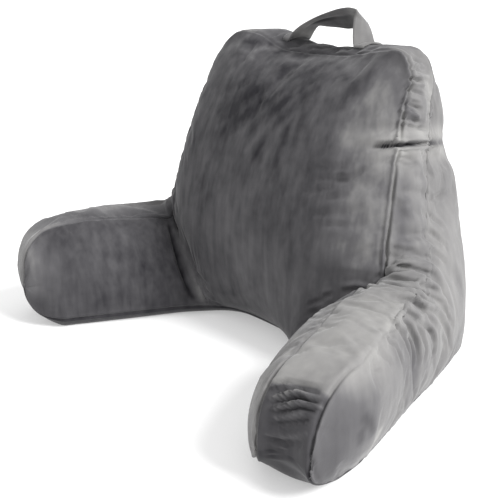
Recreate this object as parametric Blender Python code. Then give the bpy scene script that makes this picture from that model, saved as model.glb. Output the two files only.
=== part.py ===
"""Reading pillow with arms: a plush bedrest filled tight, standing on a flat base.

The cover is boxed. A strip 70 mm wide runs up the front end of one arm, along its top,
up the side of the back, over the top and down the other side. The inner panels (front of
the back, inner sides of the arms) and the large rear panel are sewn to its two edges and
crown outwards. The body is lofted from stations along that strip, and each panel is then
filled out between its seams. It is parted into the back and the two arms at the creases
where the arms leave the back. A flat carrying strap is sewn to the top.
Metres, +Z up, arms towards -Y, base on z = 0.
"""

import math
from collections import namedtuple

import bmesh
import bpy
import numpy as np
from mathutils import Matrix
from mathutils.bvhtree import BVHTree

# ---------------------------------------------------------------- driving dimensions
SEAM_LIFT = 0.016         # height of the bottom seams over the floor
TIP_STEPS = 7             # stations over the rounded end of an arm
TIP_ROUND_TOP = 2.3       # exponents of the end's rounding in side view
TIP_ROUND_FOOT = 2.8
PART_GAP = 0.0003         # between two neighbouring pieces
TO_CENTRE = (-0.0151, 0.0190)  # moves the middle of the whole pillow's box over the origin

COARSE_PITCH = 0.015      # between stations along the strip
FINE_PITCH = 0.0085       # the same where the strip is folded
INNER_STEPS = 14          # faces up an inner panel
REAR_STEPS = 18           # faces down the rear panel
BELT_STEPS = 8            # faces across the strip, and across the base
CROWN_POWER = 0.60        # below 1, panels stand steeply on their seams and are flatter in the middle
CLUSTERING = 0.85         # how strongly the faces crowd towards the seams, 0 to 1
TIGHTEN_ROUNDS = 3        # rounds that draw a panel tight between its seams
BASE_FILL = 1.6           # how full the base is; it lies flat where it meets the floor

# One row for each main station, from the middle of the back to the end of an arm.
# inner_top, outer_top: the strip's two seams (x, y, z); inner_foot, outer_foot: the bottom
# seams (x, y); fills: how full the inner panel, rear panel and strip are. The two halves
# are stuffed a little differently: the left arm stands up, and the right one has slumped
# forward and outward. x is the distance from the middle plane.
Row = namedtuple("Row", "inner_top outer_top inner_foot outer_foot fills")
MIDDLE_ROW = Row(
    (0.000, 0.104, 0.439), (0.000, 0.172, 0.439), (0.000, 0.014), (0.000, 0.246), (0.50, 0.25, 0.45)
)
RIGHT_ROWS = (
    MIDDLE_ROW,
    Row((0.075, 0.104, 0.441), (0.073, 0.172, 0.441), (0.035, 0.011), (0.080, 0.246), (0.50, 0.23, 0.45)),
    Row((0.135, 0.104, 0.452), (0.130, 0.171, 0.451), (0.062, 0.004), (0.150, 0.242), (0.50, 0.23, 0.45)),
    Row((0.172, 0.103, 0.452), (0.158, 0.169, 0.444), (0.073, -0.003), (0.188, 0.234), (0.50, 0.23, 0.50)),
    Row((0.191, 0.097, 0.428), (0.173, 0.164, 0.420), (0.080, -0.010), (0.210, 0.220), (0.50, 0.23, 0.42)),
    Row((0.200, 0.076, 0.376), (0.187, 0.146, 0.374), (0.087, -0.017), (0.230, 0.202), (0.50, 0.25, 0.40)),
    Row((0.210, 0.054, 0.311), (0.203, 0.125, 0.310), (0.094, -0.024), (0.248, 0.182), (0.50, 0.27, 0.40)),
    Row((0.220, 0.036, 0.258), (0.220, 0.108, 0.258), (0.100, -0.032), (0.264, 0.156), (0.50, 0.29, 0.40)),
    Row((0.232, 0.016, 0.202), (0.242, 0.085, 0.206), (0.107, -0.041), (0.278, 0.122), (0.45, 0.32, 0.42)),
    Row((0.243, 0.000, 0.154), (0.272, 0.058, 0.170), (0.116, -0.048), (0.293, 0.078), (0.38, 0.36, 0.48)),
    Row((0.246, -0.046, 0.154), (0.308, -0.014, 0.163), (0.142, -0.074), (0.312, 0.016), (0.48, 0.40, 0.55)),
    Row((0.262, -0.105, 0.152), (0.334, -0.078, 0.159), (0.172, -0.120), (0.335, -0.062), (0.60, 0.42, 0.55)),
    Row((0.286, -0.165, 0.146), (0.359, -0.141, 0.153), (0.206, -0.176), (0.356, -0.122), (0.65, 0.45, 0.55)),
    Row((0.303, -0.222, 0.134), (0.380, -0.200, 0.144), (0.242, -0.232), (0.375, -0.184), (0.75, 0.50, 0.55)),
)
LEFT_ROWS = (
    MIDDLE_ROW,
    Row((0.075, 0.104, 0.443), (0.073, 0.172, 0.445), (0.035, 0.015), (0.080, 0.246), (0.50, 0.25, 0.45)),
    Row((0.138, 0.104, 0.464), (0.133, 0.171, 0.462), (0.062, 0.014), (0.150, 0.242), (0.50, 0.25, 0.50)),
    Row((0.179, 0.099, 0.463), (0.171, 0.165, 0.458), (0.073, 0.012), (0.188, 0.234), (0.50, 0.25, 0.60)),
    Row((0.206, 0.089, 0.436), (0.197, 0.156, 0.432), (0.082, 0.010), (0.214, 0.220), (0.50, 0.26, 0.70)),
    Row((0.226, 0.066, 0.376), (0.215, 0.136, 0.376), (0.090, 0.007), (0.240, 0.202), (0.50, 0.28, 0.80)),
    Row((0.239, 0.044, 0.311), (0.229, 0.114, 0.310), (0.098, 0.003), (0.258, 0.182), (0.50, 0.30, 0.80)),
    Row((0.246, 0.028, 0.256), (0.240, 0.098, 0.258), (0.105, -0.002), (0.272, 0.156), (0.50, 0.33, 0.80)),
    Row((0.250, 0.012, 0.198), (0.254, 0.080, 0.206), (0.112, -0.008), (0.286, 0.122), (0.42, 0.36, 0.65)),
    Row((0.246, 0.000, 0.150), (0.272, 0.058, 0.168), (0.121, -0.018), (0.300, 0.078), (0.32, 0.38, 0.42)),
    Row((0.252, -0.046, 0.149), (0.306, -0.014, 0.157), (0.146, -0.054), (0.316, 0.020), (0.44, 0.42, 0.55)),
    Row((0.262, -0.105, 0.156), (0.328, -0.082, 0.157), (0.172, -0.111), (0.338, -0.056), (0.50, 0.42, 0.55)),
    Row((0.268, -0.165, 0.162), (0.336, -0.143, 0.157), (0.200, -0.174), (0.352, -0.118), (0.50, 0.45, 0.55)),
    Row((0.272, -0.218, 0.162), (0.340, -0.194, 0.155), (0.228, -0.236), (0.358, -0.174), (0.55, 0.50, 0.50)),
)
CREASE_ROW = 9            # the row at which an arm leaves the back
FOLDED_ROWS = range(4, 11)  # the rows after which stations stand at the fine pitch
# Foremost points of the strip's two seams (x, y), and their height, on each arm.
Tip = namedtuple("Tip", "inner outer height")
TIPS = {
    -1: Tip((0.279, -0.276), (0.345, -0.252), 0.072),
    1: Tip((0.316, -0.295), (0.392, -0.284), 0.050),
}

# Folds: side of the body; place along the strip from the middle of the back, at the strip's
# inner seam; lean and slant, how far the fold runs on along the strip while it crosses the
# strip, and for each rear panel's height; width and depth of the groove; start and end round
# the section, where -1 to 0 is the inner panel upwards, 0 to 1 the strip, and 1 to 2 the rear
# panel downwards. A roll lies beside each groove.
Fold = namedtuple("Fold", "side place lean slant width depth start end")
FOLDS = (
    Fold(1, 0.2965, 0.017, -0.10, 0.0070, 0.014, -0.04, 1.18),
    Fold(1, 0.366, 0.012, 0.00, 0.010, 0.003, 0.10, 1.10),
    Fold(1, 0.424, 0.016, -0.10, 0.011, 0.004, 0.05, 1.16),
    Fold(1, 0.454, 0.018, -0.10, 0.012, 0.006, 0.00, 1.22),
    Fold(1, 0.484, 0.018, -0.08, 0.012, 0.006, -0.10, 1.45),
    Fold(1, 0.528, 0.000, -0.05, 0.012, 0.005, 0.60, 1.80),
    Fold(1, 0.568, 0.000, -0.02, 0.012, 0.005, 0.85, 1.85),
    Fold(1, 0.608, 0.000, 0.00, 0.012, 0.004, 0.95, 1.75),
    Fold(1, 0.545, 0.000, 0.00, 0.010, 0.005, -0.35, 0.25),
    Fold(1, 0.585, 0.000, 0.00, 0.010, 0.004, -0.35, 0.15),
    Fold(-1, 0.325, 0.000, -0.10, 0.010, 0.006, 0.05, 1.16),
    Fold(-1, 0.468, 0.000, -0.10, 0.012, 0.005, 0.00, 1.20),
    Fold(-1, 0.509, 0.000, -0.06, 0.012, 0.006, -0.05, 1.45),
    Fold(-1, 0.545, 0.000, -0.04, 0.012, 0.005, 0.85, 1.85),
    Fold(-1, 0.465, 0.000, 0.00, 0.011, 0.003, -0.80, -0.25),
)
FOLD_END = 0.18           # how gently a fold runs out at its ends, round the section
SEAM_FOLDING = 0.6        # share of a fold's depth that reaches the seams it crosses

# Both edges of the carrying strap from one sewn-down end to the other (x, y, z). Where
# they would run lower than the cover, the strap lies on it.
Edges = namedtuple("Edges", "front rear")
STRAP_EDGES = (
    Edges((-0.088, 0.116, 0.440), (-0.090, 0.161, 0.440)),
    Edges((-0.077, 0.116, 0.453), (-0.080, 0.161, 0.447)),
    Edges((-0.066, 0.116, 0.467), (-0.070, 0.161, 0.456)),
    Edges((-0.050, 0.115, 0.477), (-0.061, 0.160, 0.467)),
    Edges((-0.032, 0.115, 0.485), (-0.051, 0.160, 0.477)),
    Edges((-0.009, 0.115, 0.494), (-0.030, 0.160, 0.477)),
    Edges((0.017, 0.115, 0.502), (-0.004, 0.160, 0.476)),
    Edges((0.040, 0.114, 0.507), (0.018, 0.159, 0.475)),
    Edges((0.062, 0.114, 0.508), (0.040, 0.159, 0.480)),
    Edges((0.071, 0.114, 0.505), (0.052, 0.159, 0.485)),
    Edges((0.067, 0.115, 0.497), (0.058, 0.160, 0.478)),
    Edges((0.064, 0.116, 0.480), (0.064, 0.160, 0.469)),
    Edges((0.065, 0.116, 0.458), (0.068, 0.160, 0.460)),
    Edges((0.072, 0.116, 0.440), (0.076, 0.161, 0.443)),
    Edges((0.084, 0.116, 0.430), (0.088, 0.161, 0.430)),
)
STRAP_THICKNESS = 0.0030
STRAP_STEPS = (44, 6)     # faces along and across
STRAP_LIFT = 0.0008       # between the strap's underside and the cover

Station = namedtuple("Station", "inner_top outer_top inner_foot outer_foot fills place")


# ---------------------------------------------------------------- curves through rows
def curve_through(points, places, wanted):
    """Values at the wanted places of a smooth curve that passes the points at their places."""
    slopes = np.gradient(points, places, axis=0)
    values = []
    for place in wanted:
        i = int(np.clip(np.searchsorted(places, place) - 1, 0, len(places) - 2))
        span = places[i + 1] - places[i]
        t = (place - places[i]) / span
        values.append(
            points[i] * (1 + 2 * t) * (1 - t) ** 2
            + slopes[i] * span * t * (1 - t) ** 2
            + points[i + 1] * t * t * (3 - 2 * t)
            + slopes[i + 1] * span * t * t * (t - 1)
        )
    return values


def half_stations(side):
    """Stations from the middle of the back to the end of one arm, and the crease's index."""
    table = np.array([np.concatenate(row) for row in (LEFT_ROWS if side < 0 else RIGHT_ROWS)])
    middles = (table[:, 0:3] + table[:, 3:6]) / 2
    places = np.concatenate([[0], np.cumsum(np.linalg.norm(np.diff(middles, axis=0), axis=1))])
    wanted, crease = [0.0], 0
    for i in range(len(places) - 1):
        if i == CREASE_ROW:
            crease = len(wanted) - 1
        pitch = FINE_PITCH if i in FOLDED_ROWS else COARSE_PITCH
        count = math.ceil((places[i + 1] - places[i]) / pitch)
        wanted += list(np.linspace(places[i], places[i + 1], count + 1)[1:])
    stations = []
    for v, place in zip(curve_through(table, places, wanted), wanted):
        inner_foot, outer_foot = (np.array([*flat, SEAM_LIFT]) for flat in (v[6:8], v[8:10]))
        stations.append(Station(v[0:3], v[3:6], inner_foot, outer_foot, v[10:13], place))
    stations += tip_stations(stations[-1], TIPS[side])
    mirror = np.array([side, 1, 1])
    return [Station(*(point * mirror for point in s[:4]), s.fills, s.place * side) for s in stations], crease


def tip_stations(last, tip):
    """The rounded end of an arm: the seams close in on the foremost points."""
    found = []
    for i in range(1, TIP_STEPS + 1):
        forward = math.sin(math.pi / 2 * i / TIP_STEPS)
        points = []
        for start, end, power in (
            (last.inner_top, tip.inner, TIP_ROUND_TOP),
            (last.outer_top, tip.outer, TIP_ROUND_TOP),
            (last.inner_foot, tip.inner, TIP_ROUND_FOOT),
            (last.outer_foot, tip.outer, TIP_ROUND_FOOT),
        ):
            height = max(0.0, 1 - forward**power) ** (1 / power)
            flat = start[:2] + (np.array(end) - start[:2]) * forward
            points.append(np.array([*flat, tip.height + (start[2] - tip.height) * height]))
        found.append(Station(*points, last.fills, last.place + COARSE_PITCH * i))
    return found


# ---------------------------------------------------------------- panels
def shares_across(steps):
    """Shares from 0 to 1, closer together near both ends."""
    shares = np.linspace(0, 1, steps + 1)
    return (1 - CLUSTERING) * shares + CLUSTERING * (1 - np.cos(math.pi * shares)) / 2


def between(starts, ends, steps):
    """A grid of points, straight from each start to its end."""
    shares = shares_across(steps)[None, :, None]
    return np.array(starts)[:, None, :] * (1 - shares) + np.array(ends)[:, None, :] * shares


def corners_of(grid, ring):
    """Indices of the corners of the grid's faces, in order round each face."""
    index = np.arange(grid.shape[0] * grid.shape[1]).reshape(grid.shape[:2])
    onward = np.roll(index, -1, axis=0) if ring else index[1:]
    here = index if ring else index[:-1]
    return [part.ravel() for part in (here[:, :-1], onward[:, :-1], onward[:, 1:], here[:, 1:])]


def stretch_of(grid, ring):
    """The grid's stretching energy as a matrix, and the area and the normal at each point."""
    points = grid.reshape(-1, 3)
    count = len(points)
    matrix, areas, normals = np.zeros((count, count)), np.zeros(count), np.zeros((count, 3))
    a, b, c, d = corners_of(grid, ring)
    for triangle in ((a, b, c), (a, c, d), (a, b, d), (b, c, d)):
        for i in range(3):
            tip, left, right = triangle[i], triangle[(i + 1) % 3], triangle[(i + 2) % 3]
            to_left, to_right = points[left] - points[tip], points[right] - points[tip]
            turned = np.cross(to_left, to_right)
            doubled = np.maximum(np.linalg.norm(turned, axis=1), 1e-9)
            pull = np.clip((to_left * to_right).sum(axis=1) / doubled, -20, 20) / 4
            for p, q in ((left, right), (right, left)):
                np.add.at(matrix, (p, q), -pull)
                np.add.at(matrix, (p, p), pull)
            np.add.at(areas, tip, doubled / 12)
            np.add.at(normals, tip, turned / 6)
    normals /= np.maximum(np.linalg.norm(normals, axis=1), 1e-12)[:, None]
    return matrix, areas, normals


def fold_height(places, across):
    """How far the folds raise each point of a panel; negative in a groove."""
    height = np.zeros((len(places), len(across)))
    for fold in FOLDS:
        run = fold.place + fold.lean * np.clip(across, 0, 1) + fold.slant * np.maximum(across - 1, 0)
        off = (places[:, None] * fold.side - run) / fold.width
        ends = np.minimum(across - fold.start, fold.end - across) / FOLD_END
        ends = np.clip(ends, 0, 1) * (places[:, None] * fold.side > 0)
        shape = 0.5 * np.exp(-((off - 1.6) ** 2)) + 0.25 * np.exp(-((off + 1.6) ** 2)) - np.exp(-(off**2))
        height += fold.depth * shape * ends**2 * (3 - 2 * ends)
    return height


def filled_out(grid, fills, folds, held=(), ring=False, tighten=TIGHTEN_ROUNDS):
    """The grid of a panel filled out like a cushion, between seams that stay where they are.

    The panel is first drawn tight between its seams, then raised from them by a height
    that grows with the room there is round each point, and last folded.
    """
    fixed = np.zeros(grid.shape[:2], bool)
    fixed[:, [0, -1]] = True
    fixed[list(held)] = True
    fixed = fixed.ravel()
    free = ~fixed
    points = grid.reshape(-1, 3).copy()
    for _ in range(tighten):
        matrix = stretch_of(points.reshape(grid.shape), ring)[0]
        pulled = -matrix[np.ix_(free, fixed)] @ points[fixed]
        points[free] = np.linalg.solve(matrix[np.ix_(free, free)], pulled)
    matrix, areas, normals = stretch_of(points.reshape(grid.shape), ring)
    room = np.zeros(len(points))
    room[free] = np.linalg.solve(matrix[np.ix_(free, free)], areas[free])
    room = np.maximum(room, 0)
    size = np.sqrt(room.max())
    height = np.repeat(fills, grid.shape[1]) * size * (np.sqrt(room) / size) ** (2 * CROWN_POWER)
    folds = np.where(fixed, 0, folds.ravel())
    points += (height + folds)[:, None] * normals
    points[:, 2] = np.maximum(points[:, 2], 0.0)
    return points.reshape(grid.shape)


def body_panels():
    """Grids of the inner panel, strip, rear panel and base, one row a station, and the creases.

    Each grid runs on from the one before it, round the body's section. The strip and the
    base are one belt that runs round the ends of the arms, so they are filled as one.
    """
    left, crease_left = half_stations(-1)
    right, crease_right = half_stations(1)
    stations = left[::-1] + right[1:]
    creases = (len(left) - 1 - crease_left, len(left) - 1 + crease_right)
    columns = [np.array(column) for column in zip(*stations)]
    inner_top, outer_top, inner_foot, outer_foot, fills, places = columns
    last = len(stations) - 1
    middle = (inner_top + outer_top + inner_foot + outer_foot) / 4
    shifts = []
    for seam, across in ((inner_top, 0.0), (outer_top, 1.0)):
        out = seam - middle
        height = fold_height(places, np.array([across])) * SEAM_FOLDING
        shifts.append(out * height / np.maximum(np.linalg.norm(out, axis=1, keepdims=True), 1e-6))
    rear = between(outer_top, outer_foot, REAR_STEPS)
    rear += shifts[1][:, None, :] * np.exp(-((shares_across(REAR_STEPS) / 0.05) ** 2))[None, :, None]
    inner_top += shifts[0]
    outer_top += shifts[1]

    folds = fold_height(places, shares_across(INNER_STEPS) - 1)
    inner = filled_out(between(inner_foot, inner_top, INNER_STEPS), fills[:, 0], folds, (0, last, *creases))
    folds = fold_height(places, shares_across(REAR_STEPS) + 1)
    rear = filled_out(rear, fills[:, 1], folds, (0, last), tighten=0)

    from_tip = np.minimum(np.arange(last + 1), last - np.arange(last + 1)) / TIP_STEPS
    base_fills = fills[:, 2] + (BASE_FILL - fills[:, 2]) * np.clip(from_tip - 0.3, 0, 1)
    strip = between(inner_top, outer_top, BELT_STEPS)
    base = between(inner_foot, outer_foot, BELT_STEPS)
    belt = np.concatenate([strip, base[last - 1 : 0 : -1]])
    belt_fills = np.concatenate([fills[:, 2], base_fills[last - 1 : 0 : -1]])
    folds = np.zeros(belt.shape[:2])
    folds[: last + 1] = fold_height(places, shares_across(BELT_STEPS))
    belt = filled_out(belt, belt_fills, folds, ring=True)
    strip = belt[: last + 1]
    base = np.concatenate([belt[:1], belt[:last:-1], belt[last : last + 1]])
    return (inner, strip, rear, base[:, ::-1]), creases


# ---------------------------------------------------------------- meshes
def piece(name, panels, first, last, shift, capped, material):
    """One closed mesh of the panels from the first to the last station.

    The ends named in capped are closed by a fan, moved by shift, which leaves the gap to
    the next piece; at any other end the section has closed up by itself.
    """
    points, faces = [], []
    for panel in panels:
        grid = panel[first : last + 1].copy()
        for end in capped:
            grid[end] += shift[end]
        start, across = len(points), grid.shape[1]
        points += list(map(tuple, grid.reshape(-1, 3)))
        for i in range(len(grid) - 1):
            for k in range(across - 1):
                corner = start + i * across + k
                faces.append((corner, corner + across, corner + across + 1, corner + 1))
    for end in capped:
        station = first if end == 0 else last
        ring = np.concatenate([panel[station, :-1] for panel in panels]) + shift[end]
        start, count = len(points), len(ring)
        points += list(map(tuple, ring)) + [tuple(ring.mean(axis=0))]
        fan = [(start + k, start + (k + 1) % count, start + count) for k in range(count)]
        faces += fan if end == 0 else [face[::-1] for face in fan]
    return solid(name, points, faces, material)


def solid(name, points, faces, material):
    """An object of the points and faces, with loose seams joined."""
    mesh = bpy.data.meshes.new(name)
    mesh.from_pydata(points, [], faces)
    work = bmesh.new()
    work.from_mesh(mesh)
    bmesh.ops.remove_doubles(work, verts=work.verts, dist=1e-5)
    bmesh.ops.recalc_face_normals(work, faces=work.faces)
    work.to_mesh(mesh)
    work.free()
    mesh.shade_smooth()
    mesh.set_sharp_from_angle(angle=math.radians(40))
    mesh.materials.append(material)
    mesh.transform(Matrix.Translation((*TO_CENTRE, 0)))
    made = bpy.data.objects.new(name, mesh)
    collection.objects.link(made)
    return made


def plush(name, colour):
    material = bpy.data.materials.new(name)
    material.use_nodes = True
    shader = material.node_tree.nodes["Principled BSDF"]
    shader.inputs["Base Color"].default_value = (*colour, 1)
    shader.inputs["Roughness"].default_value = 0.9
    shader.inputs["Metallic"].default_value = 0.0
    return material


def make_body(material):
    """The three cushions; returns the back, which carries the strap."""
    panels, (left, right) = body_panels()
    to_arm = np.array([0.35, -0.9, 0.0]) * (PART_GAP / 2)
    to_left_arm = to_arm * (-1, 1, 1)
    end = len(panels[0]) - 1
    back = piece("back_cushion", panels, left, right, {0: -to_left_arm, -1: -to_arm}, (0, -1), material)
    piece("arm_right", panels, right, end, {0: to_arm}, (0,), material)
    piece("arm_left", panels, 0, left, {-1: to_left_arm}, (-1,), material)
    return back


def make_strap(carrier, material):
    """The flat carrying strap: an even ribbon whose two ends lie on the carrier's top."""
    along, across = STRAP_STEPS
    edges = np.array([np.concatenate(pair) for pair in STRAP_EDGES])
    places = np.concatenate([[0], np.cumsum(np.linalg.norm(np.diff(edges[:, :3], axis=0), axis=1))])
    edges = np.array(curve_through(edges, places, np.linspace(0, places[-1], along + 1)))
    shares = np.linspace(0, 1, across + 1)[None, :, None]
    middle = edges[:, None, :3] * (1 - shares) + edges[:, None, 3:] * shares
    body = carrier.data
    tree = BVHTree.FromPolygons([v.co for v in body.vertices], [f.vertices for f in body.polygons])
    for point in middle.reshape(-1, 3):
        start = (point[0] + TO_CENTRE[0], point[1] + TO_CENTRE[1], 0.6)
        below = tree.ray_cast(start, (0, 0, -1))[0].z
        point[2] = max(point[2], below + STRAP_LIFT + STRAP_THICKNESS / 2)
    run = np.gradient(middle, axis=0)
    normal = np.cross(run, np.gradient(middle, axis=1))
    normal *= STRAP_THICKNESS / 2 / np.linalg.norm(normal, axis=2, keepdims=True)
    ring = np.concatenate([middle + normal, (middle - normal)[:, ::-1]], axis=1)
    count = ring.shape[1]
    points = list(map(tuple, ring.reshape(-1, 3)))
    faces = [
        (i * count + k, (i + 1) * count + k, (i + 1) * count + (k + 1) % count, i * count + (k + 1) % count)
        for i in range(along)
        for k in range(count)
    ]
    faces += [tuple(range(count)), tuple(along * count + k for k in reversed(range(count)))]
    return solid("handle_strap", points, faces, material)


for leftover in list(bpy.data.objects):
    bpy.data.objects.remove(leftover, do_unlink=True)
collection = bpy.data.collections.new("reading_pillow")
bpy.context.scene.collection.children.link(collection)
make_strap(make_body(plush("plush", (0.16, 0.16, 0.165))), plush("plush_strap", (0.15, 0.15, 0.155)))
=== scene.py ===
"""Looks of a reading pillow with arms: one stuffed plush cover with its seams, folds and
crushed nap, and a flat carrying strap, in a plain pale studio.

Metres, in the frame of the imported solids: +Z up, arms towards -Y, floor at z = 0.
"""

import math
from collections import namedtuple
from functools import lru_cache
from itertools import starmap

import bpy
import numpy as np
from mathutils import Matrix, Vector, noise
from mathutils.bvhtree import BVHTree


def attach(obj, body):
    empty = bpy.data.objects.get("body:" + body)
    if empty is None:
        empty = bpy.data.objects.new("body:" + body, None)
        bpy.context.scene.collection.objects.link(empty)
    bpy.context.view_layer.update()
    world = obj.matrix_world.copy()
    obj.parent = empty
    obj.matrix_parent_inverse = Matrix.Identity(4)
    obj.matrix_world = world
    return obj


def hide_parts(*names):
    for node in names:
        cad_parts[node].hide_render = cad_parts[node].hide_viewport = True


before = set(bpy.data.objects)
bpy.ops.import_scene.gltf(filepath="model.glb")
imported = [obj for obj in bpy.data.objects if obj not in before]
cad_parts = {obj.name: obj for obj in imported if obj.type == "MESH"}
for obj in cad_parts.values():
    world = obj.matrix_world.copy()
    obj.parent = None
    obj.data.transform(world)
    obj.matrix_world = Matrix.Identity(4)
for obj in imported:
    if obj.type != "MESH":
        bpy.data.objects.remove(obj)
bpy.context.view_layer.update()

# ---------------------------------------------------------------- camera of the photograph
PICTURE = 500                       # pixels along each side
CAMERA_PLACE = (0.9189, -0.8180, 0.547)
CAMERA_TURN = (49.19, 17.882)       # azimuth and elevation, degrees
LENS, SENSOR = 60.23, 36.0          # mm

# ---------------------------------------------------------------- driving dimensions
SEAM_LIFT = 0.016         # height of the bottom seams over the floor
TIP_STEPS = 7             # stations over the rounded end of an arm
TIP_ROUND_TOP = 2.3       # exponents of the end's rounding in side view
TIP_ROUND_FOOT = 2.8
TO_CENTRE = (-0.0151, 0.0190)  # moves the middle of the whole pillow's box over the origin

COARSE_PITCH = 0.015      # between stations along the strip
FINE_PITCH = 0.0085       # the same where the strip is folded
INNER_STEPS = 14          # faces up an inner panel
REAR_STEPS = 18           # faces down the rear panel
BELT_STEPS = 8            # faces across the strip, and across the base
CROWN_POWER = 0.60        # below 1, panels stand steeply on their seams and are flatter in the middle
CLUSTERING = 0.85         # how strongly the faces crowd towards the seams, 0 to 1
TIGHTEN_ROUNDS = 3        # rounds that draw a panel tight between its seams
BASE_FILL, BASE_FILL_START = 1.6, 0.3  # how full the base is, and where that starts at a tip

# One row for each main station, from the middle of the back to the end of an arm.
# inner_top, outer_top: the strip's two seams (x, y, z); inner_foot, outer_foot: the bottom
# seams (x, y); fills: how full the inner panel, rear panel and strip are. The two halves
# are stuffed a little differently: the left arm stands up, and the right one has slumped
# forward and outward. x is the distance from the middle plane.
Row = namedtuple("Row", "inner_top outer_top inner_foot outer_foot fills")
MIDDLE_ROW = Row(
    (0.000, 0.104, 0.439), (0.000, 0.172, 0.439), (0.000, 0.014), (0.000, 0.246), (0.50, 0.25, 0.45)
)
RIGHT_ROWS = (
    MIDDLE_ROW,
    Row((0.075, 0.104, 0.441), (0.073, 0.172, 0.441), (0.035, 0.011), (0.080, 0.246), (0.50, 0.23, 0.45)),
    Row((0.135, 0.104, 0.452), (0.130, 0.171, 0.451), (0.062, 0.004), (0.150, 0.242), (0.50, 0.23, 0.45)),
    Row((0.172, 0.103, 0.452), (0.158, 0.169, 0.444), (0.073, -0.003), (0.188, 0.234), (0.50, 0.23, 0.50)),
    Row((0.191, 0.097, 0.428), (0.173, 0.164, 0.420), (0.080, -0.010), (0.210, 0.220), (0.50, 0.23, 0.42)),
    Row((0.200, 0.076, 0.376), (0.187, 0.146, 0.374), (0.087, -0.017), (0.230, 0.202), (0.50, 0.25, 0.40)),
    Row((0.210, 0.054, 0.311), (0.203, 0.125, 0.310), (0.094, -0.024), (0.248, 0.182), (0.50, 0.27, 0.40)),
    Row((0.220, 0.036, 0.258), (0.220, 0.108, 0.258), (0.100, -0.032), (0.264, 0.156), (0.50, 0.29, 0.40)),
    Row((0.232, 0.016, 0.202), (0.242, 0.085, 0.206), (0.107, -0.041), (0.278, 0.122), (0.45, 0.32, 0.42)),
    Row((0.243, 0.000, 0.154), (0.272, 0.058, 0.170), (0.116, -0.048), (0.293, 0.078), (0.38, 0.36, 0.48)),
    Row((0.246, -0.046, 0.154), (0.308, -0.014, 0.163), (0.142, -0.074), (0.312, 0.016), (0.48, 0.40, 0.55)),
    Row((0.262, -0.105, 0.152), (0.334, -0.078, 0.159), (0.172, -0.120), (0.335, -0.062), (0.60, 0.42, 0.55)),
    Row((0.286, -0.165, 0.146), (0.359, -0.141, 0.153), (0.206, -0.176), (0.356, -0.122), (0.65, 0.45, 0.55)),
    Row((0.303, -0.222, 0.134), (0.380, -0.200, 0.144), (0.242, -0.232), (0.375, -0.184), (0.75, 0.50, 0.55)),
)
LEFT_ROWS = (
    MIDDLE_ROW,
    Row((0.075, 0.104, 0.443), (0.073, 0.172, 0.445), (0.035, 0.015), (0.080, 0.246), (0.50, 0.25, 0.45)),
    Row((0.138, 0.104, 0.464), (0.133, 0.171, 0.462), (0.062, 0.014), (0.150, 0.242), (0.50, 0.25, 0.50)),
    Row((0.179, 0.099, 0.463), (0.171, 0.165, 0.458), (0.073, 0.012), (0.188, 0.234), (0.50, 0.25, 0.60)),
    Row((0.206, 0.089, 0.436), (0.197, 0.156, 0.432), (0.082, 0.010), (0.214, 0.220), (0.50, 0.26, 0.70)),
    Row((0.226, 0.066, 0.376), (0.215, 0.136, 0.376), (0.090, 0.007), (0.240, 0.202), (0.50, 0.28, 0.80)),
    Row((0.239, 0.044, 0.311), (0.229, 0.114, 0.310), (0.098, 0.003), (0.258, 0.182), (0.50, 0.30, 0.80)),
    Row((0.246, 0.028, 0.256), (0.240, 0.098, 0.258), (0.105, -0.002), (0.272, 0.156), (0.50, 0.33, 0.80)),
    Row((0.250, 0.012, 0.198), (0.254, 0.080, 0.206), (0.112, -0.008), (0.286, 0.122), (0.42, 0.36, 0.65)),
    Row((0.246, 0.000, 0.150), (0.272, 0.058, 0.168), (0.121, -0.018), (0.300, 0.078), (0.32, 0.38, 0.42)),
    Row((0.252, -0.046, 0.149), (0.306, -0.014, 0.157), (0.146, -0.054), (0.316, 0.020), (0.44, 0.42, 0.55)),
    Row((0.262, -0.105, 0.156), (0.328, -0.082, 0.157), (0.172, -0.111), (0.338, -0.056), (0.50, 0.42, 0.55)),
    Row((0.268, -0.165, 0.162), (0.336, -0.143, 0.157), (0.200, -0.174), (0.352, -0.118), (0.50, 0.45, 0.55)),
    Row((0.272, -0.218, 0.162), (0.340, -0.194, 0.155), (0.228, -0.236), (0.358, -0.174), (0.55, 0.50, 0.50)),
)
CREASE_ROW = 9            # the row at which an arm leaves the back
FOLDED_ROWS = range(4, 11)  # the rows after which stations stand at the fine pitch
# Foremost points of the strip's two seams (x, y), and their height, on each arm.
Tip = namedtuple("Tip", "inner outer height")
TIPS = {
    -1: Tip((0.279, -0.276), (0.345, -0.252), 0.072),
    1: Tip((0.316, -0.295), (0.392, -0.284), 0.050),
}
LOOSE_STEPS = (56, 13, 60, 13)  # faces across each panel while the cloth settles
FINE_STEPS = (70, 24, 72, 22)   # and after it
NEAR_SEAM = (0.0, 0.0016, 0.0032, 0.0048, 0.0066, 0.0090)  # the fine ones next to a seam, metres
ROW_PITCH = 0.0055        # between the skin's rows, along the strip
# Where the rows are closer together after settling: start and end along the strip, how many times.
FINE_ROWS = ((0.170, 0.268, 2), (0.268, 0.330, 3), (0.460, 0.680, 2), (0.775, 0.920, 2))
NARROW = 0.05             # a panel narrower than this has its fine steps still closer
TINY = 1e-6
UNDER_OFFSET = 0.6        # keeps the base's cloth coordinates apart from the inner panel's
NOISE_STEPS = (7.31, 3.17, 5.73)  # how far apart the noises of two seeds are

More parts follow.
